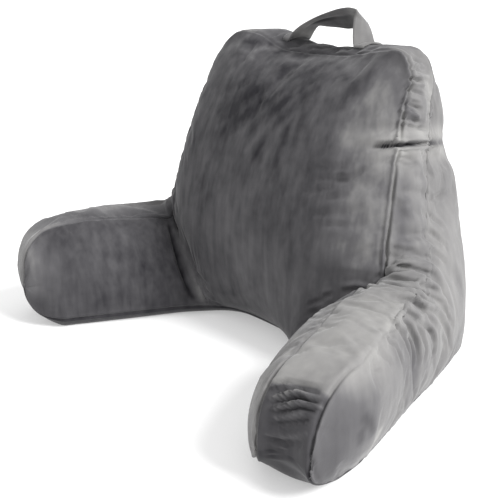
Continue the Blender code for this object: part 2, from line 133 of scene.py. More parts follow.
# Both edges of the carrying strap from one sewn-down end to the other (x, y, z). Where
# they would run lower than the cover, the strap lies on it.
Edges = namedtuple("Edges", "front rear")
STRAP_EDGES = (
    Edges((-0.088, 0.116, 0.440), (-0.090, 0.161, 0.440)),
    Edges((-0.077, 0.116, 0.453), (-0.080, 0.161, 0.447)),
    Edges((-0.066, 0.116, 0.467), (-0.070, 0.161, 0.456)),
    Edges((-0.050, 0.115, 0.477), (-0.061, 0.160, 0.467)),
    Edges((-0.032, 0.115, 0.485), (-0.051, 0.160, 0.477)),
    Edges((-0.009, 0.115, 0.494), (-0.030, 0.160, 0.477)),
    Edges((0.017, 0.115, 0.502), (-0.004, 0.160, 0.476)),
    Edges((0.040, 0.114, 0.507), (0.018, 0.159, 0.475)),
    Edges((0.062, 0.114, 0.508), (0.040, 0.159, 0.480)),
    Edges((0.071, 0.114, 0.505), (0.052, 0.159, 0.485)),
    Edges((0.067, 0.115, 0.497), (0.058, 0.160, 0.478)),
    Edges((0.064, 0.116, 0.480), (0.064, 0.160, 0.469)),
    Edges((0.065, 0.116, 0.458), (0.068, 0.160, 0.460)),
    Edges((0.072, 0.116, 0.440), (0.076, 0.161, 0.443)),
    Edges((0.084, 0.116, 0.430), (0.088, 0.161, 0.430)),
)

# ---------------------------------------------------------------- folds and wrinkles
# Main folds, as in the solids: side of the body; place along the strip from the middle of
# the back, at the strip's inner seam; lean and slant, how far the fold runs on along the
# strip while it crosses it, and for each rear panel's height; width and depth; start and end
# round the section: -1 to 0 up the inner panel, 0 to 1 the strip, 1 to 2 the rear panel.
Fold = namedtuple("Fold", "side place lean slant width depth start end")
FOLDS = (
    Fold(1, 0.366, 0.012, 0.00, 0.010, 0.003, 0.10, 1.10),
    Fold(1, 0.424, 0.016, -0.10, 0.010, 0.004, 0.05, 1.16),
    Fold(1, 0.454, 0.018, -0.10, 0.010, 0.006, 0.00, 1.22),
    Fold(1, 0.484, 0.018, -0.08, 0.010, 0.006, -0.10, 1.30),
    Fold(1, 0.568, 0.000, -0.02, 0.012, 0.003, 0.90, 1.80),
    Fold(1, 0.608, 0.000, 0.00, 0.012, 0.002, 0.95, 1.75),
    Fold(1, 0.545, 0.000, 0.00, 0.010, 0.004, -0.35, 0.15),
    Fold(1, 0.585, 0.000, 0.00, 0.010, 0.004, -0.35, 0.05),
    Fold(-1, 0.325, 0.000, -0.10, 0.010, 0.006, 0.05, 1.16),
    Fold(-1, 0.468, 0.000, -0.10, 0.012, 0.005, 0.00, 1.20),
    Fold(-1, 0.509, 0.000, -0.06, 0.012, 0.006, -0.05, 1.45),
    Fold(-1, 0.545, 0.000, -0.04, 0.012, 0.005, 0.85, 1.85),
    Fold(-1, 0.465, 0.000, 0.00, 0.011, 0.003, -0.80, -0.25),
)
FOLD_END = 0.18           # how gently a fold runs out at its ends, round the section
FOLD_RIM, FORE_RIM, REAR_RIM = 1.6, 0.5, 0.25  # its raised rims: widths away, shares of its depth

# Folds and wrinkles by the pixels that they run through in the photograph: half width and
# height in metres, negative for a groove; fade: the share of its length over which each end
# runs out. The broad ones are there before the cloth settles, the others are pressed in after.
Wrinkle = namedtuple("Wrinkle", "width height pixels fade", defaults=(0.3,))
# Curves that carry a wrinkle and a mark: the far arm's crease, and ridges at the near arm's end.
FAR_CREASE = ((169, 226), (174, 243), (179, 262), (185, 280), (193, 298))
UPPER_RIDGE = ((272, 398), (286, 395), (298, 392), (310, 396), (320, 398))
LOWER_RIDGE = ((274, 408), (288, 405), (300, 402), (312, 405), (322, 407))
BROAD_FOLDS = (
    # the bend from the back to the near arm
    (0.0070, -0.0040, ((384, 284), (400, 287), (417, 290), (433, 296), (446, 306))),
    (0.0065, -0.0040, ((384, 301), (400, 302), (417, 306), (433, 314), (444, 325), (449, 338))),
)
WRINKLES = (
    # the tuck across the strip, and the rolls above and under it
    (0.0030, -0.0090, ((370, 147), (384, 146), (398, 145), (415, 144), (430, 143), (440, 143)), 0.3),
    (0.0080, 0.0034, ((352, 139), (376, 138), (398, 137), (415, 136), (432, 135), (446, 134))),
    (0.0080, 0.0028, ((360, 154), (382, 153), (398, 152), (415, 151), (432, 150), (446, 149))),
    # the bend from the back to the near arm
    (0.0036, -0.0024, ((380, 265), (402, 267), (422, 272), (437, 276))),
    (0.0040, -0.0034, ((377, 277), (400, 280), (420, 285), (435, 290), (446, 297))),
    (0.0036, 0.0020, ((380, 282), (402, 285), (422, 291), (436, 296))),
    (0.0040, -0.0040, ((380, 287), (405, 290), (425, 297), (437, 303), (447, 312))),
    (0.0036, 0.0020, ((380, 292), (404, 295), (420, 301), (434, 310))),
    (0.0038, -0.0034, ((377, 297), (405, 300), (420, 307), (430, 317), (437, 328))),
    (0.0036, -0.0030, ((382, 307), (405, 312), (420, 322), (430, 333), (436, 345))),
    (0.0036, -0.0032, ((400, 317), (410, 330), (416, 345), (418, 357), (416, 370))),
    (0.0036, -0.0034, ((380, 319), (395, 326), (405, 340), (410, 355), (411, 371))),
    (0.0034, 0.0018, ((390, 318), (402, 328), (411, 342), (414, 356), (413, 370))),
    (0.0034, -0.0026, ((414, 322), (422, 336), (426, 350), (423, 364))),
    (0.0034, -0.0022, ((428, 326), (434, 340), (433, 352), (429, 364))),
    (0.0032, -0.0022, ((378, 334), (390, 342), (399, 354), (404, 368))),
    (0.0032, -0.0018, ((376, 350), (386, 358), (393, 370))),
    (0.0030, -0.0020, ((373, 362), (381, 362))),
    (0.0028, -0.0016, ((374, 371), (381, 371))),
    # gathers where the near arm leaves the front panel
    (0.0034, -0.0028, ((370, 284), (382, 285))),
    (0.0036, -0.0028, ((341, 291), (354, 290), (368, 291))),
    (0.0034, 0.0022, ((341, 286), (354, 285), (368, 286))),
    (0.0034, -0.0028, ((322, 297), (332, 294))),
    (0.0036, -0.0024, ((303, 316), (315, 312), (326, 307))),
    (0.0032, -0.0020, ((306, 306), (318, 301), (328, 299))),
    (0.0030, -0.0018, ((296, 327), (306, 322), (313, 319))),
    # gathers at the near arm's end
    (0.0028, -0.0040, ((270, 386), (282, 383), (296, 383), (310, 386), (322, 390))),
    (0.0028, -0.0048, ((269, 394), (284, 389), (298, 388), (310, 392), (321, 395))),
    (0.0026, 0.0036, UPPER_RIDGE),
    (0.0028, -0.0050, ((270, 404), (284, 399), (298, 397), (312, 401), (322, 402))),
    (0.0026, 0.0034, LOWER_RIDGE),
    (0.0028, -0.0044, ((270, 412), (284, 410), (300, 407), (314, 410), (322, 412))),
    (0.0028, -0.0030, ((266, 424), (286, 422), (304, 420), (320, 418))),
    (0.0030, -0.0030, ((264, 438), (283, 442), (307, 442))),
    (0.0028, 0.0020, ((264, 432), (284, 434), (306, 432))),
    (0.0030, -0.0016, ((266, 457), (283, 455), (298, 451))),
    (0.0028, -0.0024, ((266, 449), (285, 450), (303, 446))),
    (0.0024, 0.0008, ((337, 353), (341, 360), (347, 369))),
    (0.0024, 0.0008, ((350, 357), (346, 366), (341, 377))),
    # the side of the back
    (0.0028, -0.0043, ((407, 61), (413, 60), (420, 61))),
    (0.0028, 0.0036, ((407, 65), (414, 64), (422, 65))),
    (0.0026, -0.0036, ((407, 69), (413, 68), (420, 69))),
    (0.0028, -0.0040, ((406, 79), (414, 79), (424, 82))),
    (0.0026, 0.0032, ((405, 84), (414, 84), (425, 87))),
    (0.0030, -0.0040, ((404, 90), (413, 91), (424, 95))),
    (0.0026, 0.0029, ((402, 97), (411, 98), (422, 102))),
    (0.0030, -0.0040, ((400, 104), (410, 105), (422, 110))),
    (0.0026, 0.0029, ((399, 110), (408, 112), (420, 117))),
    (0.0030, -0.0036, ((398, 117), (408, 119), (420, 123))),
    (0.0026, -0.0025, ((400, 124), (410, 126), (424, 129))),
    (0.0034, -0.0024, ((412, 52), (417, 55), (422, 58))),
    (0.0030, 0.0020, ((416, 66), (422, 66), (428, 68))),
    (0.0030, -0.0022, ((415, 71), (421, 71), (428, 73))),
    (0.0030, 0.0016, ((416, 76), (424, 77), (430, 79))),
    (0.0034, -0.0020, ((400, 206), (408, 204), (414, 204))),
    (0.0036, -0.0024, ((427, 202), (437, 197), (447, 192))),
    (0.0036, -0.0020, ((426, 214), (436, 221), (446, 232))),
    (0.0036, -0.0022, ((427, 230), (437, 238), (448, 250))),
    (0.0036, -0.0020, ((424, 246), (436, 254), (447, 264))),
    (0.0038, -0.0024, ((392, 246), (402, 250), (414, 251))),
    (0.0038, -0.0026, ((389, 262), (401, 266), (414, 266))),
    (0.0032, -0.0016, ((404, 167), (413, 165), (421, 166))),
    (0.0030, -0.0014, ((432, 155), (439, 153), (446, 150))),
    # the front panel
    (0.0050, -0.0024, ((310, 169), (322, 166), (334, 169), (348, 166))),
    (0.0052, -0.0026, ((308, 180), (330, 177), (348, 180), (358, 173), (366, 167))),
    (0.0048, -0.0020, ((296, 188), (316, 190), (334, 188))),
    (0.0048, -0.0018, ((318, 196), (334, 198), (350, 195))),
    (0.0048, -0.0016, ((302, 212), (318, 214), (332, 212))),
    (0.0048, -0.0016, ((322, 226), (336, 225), (348, 228))),
    (0.0046, -0.0014, ((300, 156), (314, 157), (328, 154))),
    (0.0026, 0.0016, ((255, 63), (265, 59), (274, 55))),
    (0.0026, 0.0016, ((288, 74), (297, 70), (306, 66))),
    (0.0028, -0.0018, ((250, 94), (266, 86), (283, 78))),
    (0.0028, -0.0020, ((238, 103), (254, 94), (270, 84))),
    (0.0028, -0.0016, ((246, 112), (262, 101), (276, 90))),
    (0.0028, -0.0016, ((258, 114), (270, 104), (284, 93))),
    (0.0028, -0.0014, ((232, 92), (246, 84), (260, 76))),
    (0.0026, 0.0014, ((262, 74), (276, 69), (288, 62))),
    (0.0026, -0.0016, ((252, 52), (262, 49), (272, 47))),
    (0.0026, 0.0014, ((240, 60), (250, 54), (258, 50))),
    (0.0026, -0.0014, ((300, 56), (308, 53), (317, 54))),
    (0.0026, 0.0016, ((344, 60), (352, 57), (362, 55))),
    (0.0030, -0.0018, ((193, 268), (200, 277), (209, 284))),
    (0.0030, -0.0016, ((196, 283), (204, 290), (214, 296))),
    (0.0030, -0.0016, ((203, 298), (212, 302), (222, 304))),
    # the far arm
    (0.0040, -0.0028, ((58, 229), (64, 235), (68, 243))),
    (0.0040, -0.0028, ((68, 227), (75, 234), (80, 244))),
    (0.0040, -0.0022, ((84, 225), (89, 232), (92, 240))),
    (0.0034, -0.0016, ((140, 222), (138, 240), (141, 258))),
    (0.0034, -0.0016, ((158, 219), (158, 238), (163, 258))),
    (0.0042, -0.0040, FAR_CREASE, 0.2),
    (0.0080, 0.0045, ((178, 230), (185, 250), (191, 267), (198, 284), (206, 299))),
)
# Darker or lighter marks, by the pixels that they run through, on one panel or, under None,
# on all: mostly nap that lies the other way, and, where said below, painted shade and painted light.
INNER_PANEL, STRIP_PANEL, REAR_PANEL, BASE_PANEL = range(4)
NapAndShadeMark = namedtuple("NapAndShadeMark", "width tone pixels")
NAP_AND_SHADE_MARKS = {
    INNER_PANEL: (
        (0.060, -0.62, ((226, 110), (250, 95), (285, 88))),
        (0.020, 0.3, ((270, 60), (310, 62), (345, 66))),
        (0.010, -0.75, ((374, 70), (367, 78), (358, 92))),
        (0.007, -0.70, ((352, 84), (346, 94), (341, 106))),
        (0.005, -0.60, ((341, 74), (346, 78))),
        # painted light on the front panel's right, where it turns towards the lamp
        (0.055, 0.72, ((380, 90), (372, 160), (362, 250))),
        (0.050, 0.35, ((225, 230), (250, 270), (290, 290))),
        # the far arm's inner panel: streaks of nap, with painted shade growing darker towards the crease
        (0.004, -0.14, ((104, 226), (105, 262), (104, 304))),
        (0.006, -0.16, ((118, 226), (119, 262), (118, 304))),
        (0.006, -0.20, ((130, 226), (131, 262), (130, 304))),
        (0.007, -0.22, ((143, 226), (145, 262), (144, 302))),
        (0.040, -0.22, ((150, 226), (158, 262), (166, 300))),
        (0.008, -0.12, ((161, 226), (168, 255), (178, 288))),
        (0.050, -0.12, ((80, 250), (90, 270), (96, 290))),
        # painted light beside the far arm's crease, over its real shade, and painted shadow along the crease
        # itself
        (0.009, 0.65, ((178, 234), (184, 252), (190, 268), (196, 284), (203, 299))),
        (0.0035, -0.9, FAR_CREASE),
        # painted shade on the front panel beside the far arm's crease
        (0.040, -0.12, ((200, 200), (205, 235), (215, 260))),
        (0.022, 0.6, ((30, 255), (34, 285))),
        # the crushed pile under the front panel's top seam
        (0.0060, 0.7, ((238, 46), (248, 52), (252, 58))),
        (0.0050, 0.7, ((256, 50), (266, 48), (274, 50))),
        (0.0050, -0.6, ((244, 42), (256, 42), (270, 44))),
        (0.0060, -0.7, ((276, 52), (290, 52), (304, 56))),
        (0.0050, 0.6, ((290, 60), (304, 60), (316, 58))),
        (0.0060, -0.6, ((318, 66), (330, 64), (342, 66))),
        (0.0055, 0.7, ((338, 56), (350, 53), (362, 51))),
        (0.0070, -0.5, ((360, 60), (374, 56), (390, 54))),
    ),
    STRIP_PANEL: (
        (0.008, -0.4, ((403, 105), (410, 112), (416, 119))),
        (0.016, -0.3, ((404, 185), (403, 240))),
        # painted light on the near arm's top, where it faces the lamp, together with lighter nap
        (0.060, 0.34, ((300, 360), (340, 330), (378, 310))),
        (0.016, 0.35, ((428, 84), (432, 116))),
        (0.030, -0.8, ((50, 218), (100, 217), (165, 213))),
        # painted highlights on the ridges of the gathers at the near arm's end, and painted shade in the
        # groove above them
        (0.0022, 0.9, UPPER_RIDGE),
        (0.0022, 0.8, LOWER_RIDGE),
        (0.0020, 0.6, ((276, 418), (290, 416), (304, 414))),
        (0.0020, 0.4, ((266, 434), (284, 436), (306, 434))),
        (0.0024, -0.6, ((270, 388), (284, 385), (300, 386), (318, 390))),
    ),
    REAR_PANEL: (
        (0.060, 0.15, ((446, 240), (450, 290), (440, 320))),
        (0.030, -0.22, ((385, 335), (402, 350), (412, 372))),
        (0.018, 0.32, ((392, 316), (386, 330), (367, 362), (346, 377))),
        (0.045, -0.55, ((345, 425), (330, 470))),
        (0.030, -0.12, ((395, 380), (378, 410))),
        (0.007, -0.6, ((366, 418), (371, 424), (374, 431))),
        (0.006, -0.5, ((361, 434), (361, 440))),
        (0.005, 0.6, ((380, 431), (376, 439), (372, 447))),
    ),
    None: (
        # painted highlights on the rolls above and under the tuck, and painted shadow inside the tuck
        (0.016, 0.5, ((345, 136), (365, 140), (384, 141))),
        (0.012, 0.4, ((398, 134), (420, 134), (440, 133))),
        (0.012, 0.4, ((390, 152), (416, 153), (442, 151))),
        (0.0022, -1.6, ((384, 146), (398, 145), (415, 144), (432, 143), (442, 142))),
        # painted light on the near arm's top, together with lighter nap
        (0.080, 0.10, ((300, 360), (345, 345), (385, 330))),
        # the streaks of the front panel's upper left
        (0.0050, 0.34, ((216, 128), (240, 112), (262, 97), (284, 84))),
        (0.0045, -0.34, ((222, 132), (244, 117), (266, 101), (282, 90))),
        (0.0050, 0.31, ((230, 138), (248, 124), (268, 106), (288, 92))),
        (0.0045, -0.31, ((240, 140), (256, 126), (272, 111), (290, 98))),
        (0.0050, 0.31, ((246, 150), (258, 136), (274, 118), (292, 102))),
        (0.0045, -0.28, ((254, 158), (264, 142), (277, 124), (292, 110))),
        (0.0055, 0.28, ((262, 166), (270, 148), (280, 130), (292, 116))),
        (0.0050, -0.28, ((272, 172), (278, 152), (284, 134), (294, 118))),
        (0.0060, 0.28, ((284, 172), (288, 150), (292, 132), (298, 116))),
        (0.0070, 0.22, ((300, 80), (293, 94), (289, 110))),
        (0.0070, -0.34, ((322, 72), (312, 88), (304, 106), (300, 126))),
        (0.0060, 0.25, ((330, 78), (322, 96), (316, 116))),
        (0.0060, 0.25, ((212, 104), (228, 94), (246, 84))),
        (0.0050, -0.25, ((218, 112), (236, 101), (256, 90))),
    ),
}
FRONT_NAP_AND_SHADE, REST_NAP_AND_LIGHT, BASE_PAINTED_SHADE = -0.55, 0.30, -1.1  # how dark or light the cloth is painted on the inner panels, most others and the base: the inner panels darker and the others lighter partly by nap and partly as painted shade and painted light, the base dark as painted shade under the pillow
TONE_EDGE = 0.02          # how softly the inner panels' darker nap and painted shade meet the others', as a share across
TOP_TONE_SHARE, TOP_NAP_REACH = 1.1, 0.05  # how dark the top is, and how far it reaches forwards
TUCK, TUCK_REACH, TUCK_ACROSS = 0.2965, 0.009, 1.2  # where the tuck flattens the seams it crosses
ARM_END, ARM_END_EDGE, ARM_END_PAINTED_SHADE = 0.792, 0.004, -0.75  # where the near arm's strip is painted dark at its end, as painted shade on the end face that is turned from the lamp

LOOSE_LUMPS, LUMP_DEPTH = 0.5, 0.0045  # soft lumps of the filling: share, depth
LUMP_SIZE, SMALL_LUMP_SIZE, SMALL_LUMPS = (0.09, 0.09, 0.09), (0.04, 0.04, 0.05), 0.45
LUMP_EDGE = 0.03          # how far from a seam the lumps have their whole height
WRINKLE_SHARE = 1.25      # of the wrinkles' heights, by which they are all raised
WRINKLE_REACH = 4         # widths from a wrinkle within which it is worked out
CURVE_PITCH, CURVE_LEAST = 0.004, 8  # metres between a curve's points, and the fewest of them
RIM_SHARE, RIM_PLACE = 0.45, 1.7  # the low rim beside a wrinkle: share of its height, widths away

# Gathers that run into a seam: how far, how deep, how far from it they start, how fast they
# grow from the bottom seams, and how wide and long the fine and the coarse ones are.
PUCKER_REACH, PUCKER_DEPTH, PUCKER_START, PUCKER_RISE = 0.014, 0.0014, 0.004, 1.4
FINE_PUCKER, COARSE_PUCKER, COARSE_SHARE = (0.009, 0.04, 1), (0.019, 0.07, 1), 0.8
CALM_ARM = 0.6            # share of them that is gone on the near arm
# Seams: half width and depth; the soft lips beside the groove, widths away and share of its
# depth; the front panel's welt and the dip behind it, with their places and half widths.
SEAM_WIDTH, SEAM_DEPTH = 0.0020, 0.0026
LIP_PLACE, LIP_SHARE = 2.4, 0.4
WELT_DEPTH, WELT_PLACE, WELT_WIDTH = 0.0016, 0.0042, 0.0022
DIP_SHARE, DIP_PLACE, DIP_WIDTH = 0.5, 0.0085, 0.0015
SUNK = 0.9                # share of a seam's depth that is gone where it is sunk in the pile
TOP_SUNK, FAR_ARM_SHOWN = 0.8, 0.5  # how far it is sunk on the top, and shown on the far arm
SEAM_FILL, SEAM_FILL_REACH = 0.0032, 0.0085  # how far the cloth stands up beside a sunk seam

# Stretches of the strip, in metres from the middle of the back, over which something sets in.
TOP_END, TOP_NAP_END = (0.13, 0.17), (0.10, 0.16)  # the seam and the dark nap of the top end
SIDE_START = (0.17, 0.22)              # the seam of the near side is sunk from here
WELT_END = (0.46, 0.49)
ARM_START, FAR_ARM_START = (0.47, 0.52), (0.45, 0.52)  # seams are sunk, the far arm's nap starts
NEAR_ARM_START = (0.56, 0.62)          # the near arm's smoother, lighter cloth starts
ARM_FADE, PUCKER_END = (0.74, 0.79), (0.80, 0.86)  # seams come out again, gathers end
SIDE_END = 0.5

# Cloth: how much larger it is cut on the inner panels, elsewhere and more at the bends
# where the arms leave the back, whose place and reach along the strip follow.
GROWTH = (0.020, 0.030, 0.030)
BEND_PLACE, BEND_REACH = 0.53, 0.09
SETTLE_FRAMES = 20
CLOTH_RULES = {           # Blender's settings of the cloth
    "quality": 4,
    "mass": 0.15,
    "tension_stiffness": 20,
    "compression_stiffness": 20,
    "shear_stiffness": 8,
    "bending_stiffness": 0.3,
    "air_damping": 2,
    "use_pressure": True,
    "uniform_pressure_force": 4,
}
GROWTH_RISE = (-0.1, 0.5)  # how it sets in, as shares across from the bottom seams
GROWTH_LEVELS = 40        # steps of growth that the cloth tells apart
SLOW_ROUNDS, SLOW_STEP = 120, 0.6  # rounds of smoothing that leave a broad swell, and their strength
SWELL_TAKEN = 0.85        # share of the broad swell that is taken back
MOST_MOVE = 0.010         # cap on how far the settling moves a vertex

STRAP_THICKNESS, STRAP_ROUND = 0.0034, 0.003  # and how far from an edge it is rounded
BLUNT_EDGE = 0.02         # square of the share of the thickness that is left at the very edge
STRAP_LIFT = 0.0006       # over the cover
STRAP_FINE = (150, 22)    # faces along and across
STITCH_DEPTH, STITCH_PLACE, STITCH_WIDTH = 0.0005, 0.005, 0.0012  # the stitched line along an edge
STRAP_WAVE, STRAP_WAVE_SIZE, STRAP_WAVE_EDGE = 0.0008, (0.02, 0.03, 0.02), 0.01
SKY = 0.6                 # a height over the whole pillow
# Painted light and painted shade along the strap: the share run, and how light or dark it is painted at its
# front and at its rear edge; its rear band, seen from under, carries painted shade.
STRAP_LIGHT_AND_SHADE = (
    (0.00, -0.3, -0.2), (0.10, 0.1, 0.4), (0.17, 0.7, 0.9), (0.26, 0.4, 0.0), (0.32, 0.1, -1.6),
    (0.42, 0.0, -1.1), (0.50, 0.0, -0.7), (0.58, 0.0, -0.6), (0.64, 0.3, 0.3), (1.00, 0.3, 0.3),
)
# The strap's crease: its place and half width as shares across, its height, and where along
# the strap it is highest and how far it reaches, as shares run; and how sharply the painted light gives way
# to painted shade there.
CREASE_PLACE, CREASE_WIDTH, CREASE_HEIGHT = 0.34, 0.06, 0.0022
CREASE_MIDDLE, CREASE_REACH, CREASE_TURN = 0.42, 0.14, 0.05

# ---------------------------------------------------------------- colours and studio
PLUSH_COLOURS = ((0.0075, 0.0068, 0.0098), (0.088, 0.086, 0.090), (0.262, 0.258, 0.250))  # dark to light
STRAP_COLOURS = ((0.028, 0.027, 0.029), (0.088, 0.086, 0.088), (0.250, 0.246, 0.240))
SUN = ((0.80, 0.22, 0.72), 4.6, 24.0)  # towards the light, its strength and its width in degrees
WORLD_STRENGTH = 1.0
# The nap's noises: how each is stretched along x, y and z, its size in metres, its detail and
# roughness; then their shares, and the mean of their sum.
BROAD_NAP = ((1, 1, 1.3), 0.055, 3.0, 0.6)
STREAK_NAP = ((0.5, 0.5, 2.6), 0.030)
CRUSHED_NAP = ((1.2, 1.2, 1), 0.016)
BROAD_SHARE, STREAK_SHARE, CRUSHED_SHARE, NAP_MEAN = 0.45, 0.50, 0.16, 0.555
PILE = ((1, 1, 1), 0.0011, 2.0, 0.6)      # the fine pile's noise, in the same way
PILE_BUMP, PILE_DEPTH = 0.35, 0.0006      # strength and depth in metres of the pile's relief
NAP_BUMP, NAP_DEPTH = 0.5, 0.0022         # and of the nap's
PLUSH_ROUGHNESS, NAP_GLOSS = 0.86, -0.15  # and how it changes where the nap is lighter
PLUSH_SURFACE = {
    "Specular IOR Level": 0.25,
    "Sheen Weight": 0.24,
    "Sheen Roughness": 0.40,
    "Sheen Tint": (0.80, 0.80, 0.80, 1),
}
NAP_CONTRAST = 1.2        # of the streaks and patches that the nap shows
REST_STREAKS = 0.35       # share of them that the outer panels have
FRONT_STREAKS, FAR_STREAKS = 0.75, 0.55  # and that the back's and the far arm's inner panels have
FLOOR_SIZE, FLOOR_DROP = 120.0, 0.0006    # and how far it lies under the pillow
FLOOR_SHADE, FLOOR_ROUGHNESS, FLOOR_GLOW = 0.62, 0.9, 0.36
PLAIN_SPECULAR = 0.1

Station = namedtuple("Station", "inner_top outer_top inner_foot outer_foot fills place")


# ---------------------------------------------------------------- curves through rows
def curve_through(points, places, wanted):
    """Values at the wanted places of a smooth curve that passes the points at their places."""
    slopes = np.gradient(points, places, axis=0)
    values = []
    for place in wanted:
        i = int(np.clip(np.searchsorted(places, place) - 1, 0, len(places) - 2))
        span = places[i + 1] - places[i]
        t = (place - places[i]) / span
        values.append(
            points[i] * (1 + 2 * t) * (1 - t) ** 2
            + slopes[i] * span * t * (1 - t) ** 2
            + points[i + 1] * t * t * (3 - 2 * t)
            + slopes[i + 1] * span * t * t * (t - 1)
        )
    return values


def half_stations(side):
    """Stations from the middle of the back to the end of one arm, and the crease's index."""
    table = np.array([np.concatenate(row) for row in (LEFT_ROWS if side < 0 else RIGHT_ROWS)])
    middles = (table[:, 0:3] + table[:, 3:6]) / 2
    places = np.concatenate([[0], np.cumsum(np.linalg.norm(np.diff(middles, axis=0), axis=1))])
    wanted, crease = [0.0], 0
    for i in range(len(places) - 1):
        if i == CREASE_ROW:
            crease = len(wanted) - 1
        pitch = FINE_PITCH if i in FOLDED_ROWS else COARSE_PITCH
        count = math.ceil((places[i + 1] - places[i]) / pitch)
        wanted += list(np.linspace(places[i], places[i + 1], count + 1)[1:])
    stations = []
    for v, place in zip(curve_through(table, places, wanted), wanted):
        inner_foot, outer_foot = (np.array([*flat, SEAM_LIFT]) for flat in (v[6:8], v[8:10]))
        stations.append(Station(v[0:3], v[3:6], inner_foot, outer_foot, v[10:13], place))
    stations += tip_stations(stations[-1], TIPS[side])
    mirror = np.array([side, 1, 1])
    return [Station(*(point * mirror for point in s[:4]), s.fills, s.place * side) for s in stations], crease


def tip_stations(last, tip):
    """The rounded end of an arm: the seams close in on the foremost points."""
    found = []
    for i in range(1, TIP_STEPS + 1):
        forward = math.sin(math.pi / 2 * i / TIP_STEPS)
        points = []
        for start, end, power in (
            (last.inner_top, tip.inner, TIP_ROUND_TOP),
            (last.outer_top, tip.outer, TIP_ROUND_TOP),
            (last.inner_foot, tip.inner, TIP_ROUND_FOOT),
            (last.outer_foot, tip.outer, TIP_ROUND_FOOT),
        ):
            height = max(0.0, 1 - forward**power) ** (1 / power)
            flat = start[:2] + (np.array(end) - start[:2]) * forward
            points.append(np.array([*flat, tip.height + (start[2] - tip.height) * height]))
        found.append(Station(*points, last.fills, last.place + COARSE_PITCH * i))
    return found


# ---------------------------------------------------------------- panels
def shares_across(steps):
    """Shares from 0 to 1, closer together near both ends."""
    shares = np.linspace(0, 1, steps + 1)
    return (1 - CLUSTERING) * shares + CLUSTERING * (1 - np.cos(math.pi * shares)) / 2


def between(starts, ends, steps):
    """A grid of points, straight from each start to its end."""
    shares = shares_across(steps)[None, :, None]
    return np.array(starts)[:, None, :] * (1 - shares) + np.array(ends)[:, None, :] * shares


def corners_of(grid, ring):
    """Indices of the corners of the grid's faces, in order round each face."""
    index = np.arange(grid.shape[0] * grid.shape[1]).reshape(grid.shape[:2])
    onward = np.roll(index, -1, axis=0) if ring else index[1:]
    here = index if ring else index[:-1]
    return [part.ravel() for part in (here[:, :-1], onward[:, :-1], onward[:, 1:], here[:, 1:])]


def stretch_of(grid, ring):
    """The grid's stretching energy as a matrix, and the area and the normal at each point."""
    points = grid.reshape(-1, 3)
    count = len(points)
    matrix, areas, normals = np.zeros((count, count)), np.zeros(count), np.zeros((count, 3))
    a, b, c, d = corners_of(grid, ring)
    for triangle in ((a, b, c), (a, c, d), (a, b, d), (b, c, d)):
        for i in range(3):
            tip, left, right = triangle[i], triangle[(i + 1) % 3], triangle[(i + 2) % 3]
            to_left, to_right = points[left] - points[tip], points[right] - points[tip]
            turned = np.cross(to_left, to_right)
            doubled = np.maximum(np.linalg.norm(turned, axis=1), 1e-9)
            pull = np.clip((to_left * to_right).sum(axis=1) / doubled, -20, 20) / 4
            for p, q in ((left, right), (right, left)):
                np.add.at(matrix, (p, q), -pull)
                np.add.at(matrix, (p, p), pull)
            np.add.at(areas, tip, doubled / 12)
            np.add.at(normals, tip, turned / 6)
    normals /= np.maximum(np.linalg.norm(normals, axis=1), 1e-12)[:, None]
    return matrix, areas, normals


def filled_out(grid, fills, held=(), ring=False, tighten=TIGHTEN_ROUNDS):
    """The grid of a panel filled out like a cushion, between seams that stay where they are.

    The panel is first drawn tight between its seams, then raised from them by a height
    that grows with the room there is round each point.
    """
    fixed = np.zeros(grid.shape[:2], bool)
    fixed[:, [0, -1]] = True
    fixed[list(held)] = True
    fixed = fixed.ravel()
    free = ~fixed
    points = grid.reshape(-1, 3).copy()
    for _ in range(tighten):
        matrix = stretch_of(points.reshape(grid.shape), ring)[0]
        pulled = -matrix[np.ix_(free, fixed)] @ points[fixed]
        points[free] = np.linalg.solve(matrix[np.ix_(free, free)], pulled)
    matrix, areas, normals = stretch_of(points.reshape(grid.shape), ring)
    room = np.zeros(len(points))
    room[free] = np.linalg.solve(matrix[np.ix_(free, free)], areas[free])
    room = np.maximum(room, 0)
    size = np.sqrt(room.max())
    height = np.repeat(fills, grid.shape[1]) * size * (np.sqrt(room) / size) ** (2 * CROWN_POWER)
    points += height[:, None] * normals
    points[:, 2] = np.maximum(points[:, 2], 0.0)
    return points.reshape(grid.shape)


# ---------------------------------------------------------------- fine skin
@lru_cache(None)
def bends_matrix(count, ring):
    """How the second derivatives of a smooth curve follow from its values at whole places."""
    eye = np.eye(count)
    before, after = np.roll(eye, 1, axis=1), np.roll(eye, -1, axis=1)
    left, right = 4 * eye + before + after, 6 * (before - 2 * eye + after)
    if not ring:
        left[[0, -1]], right[[0, -1]] = eye[[0, -1]], 0
    return np.linalg.solve(left, right)


def spline_matrix(count, wanted, ring=False):
    """Weights of the values at whole places in a smooth curve's values at the wanted places."""
    wanted, eye, bends = np.asarray(wanted), np.eye(count), bends_matrix(count, ring)
    i = np.floor(wanted + 1e-9).astype(int)
    i = i if ring else np.minimum(i, count - 2)
    t = (wanted - i)[:, None]
    i, j = i % count, (i + 1) % count
    return (
        (1 - t) * eye[i] + t * eye[j]
        + ((1 - t) ** 3 - (1 - t)) / 6 * bends[i] + (t**3 - t) / 6 * bends[j]
    )


def loose_columns(coarse, loose):
    """Fractional coarse columns for that many even faces across a panel."""
    return np.interp(np.linspace(0, 1, loose + 1), shares_across(coarse), np.arange(coarse + 1))


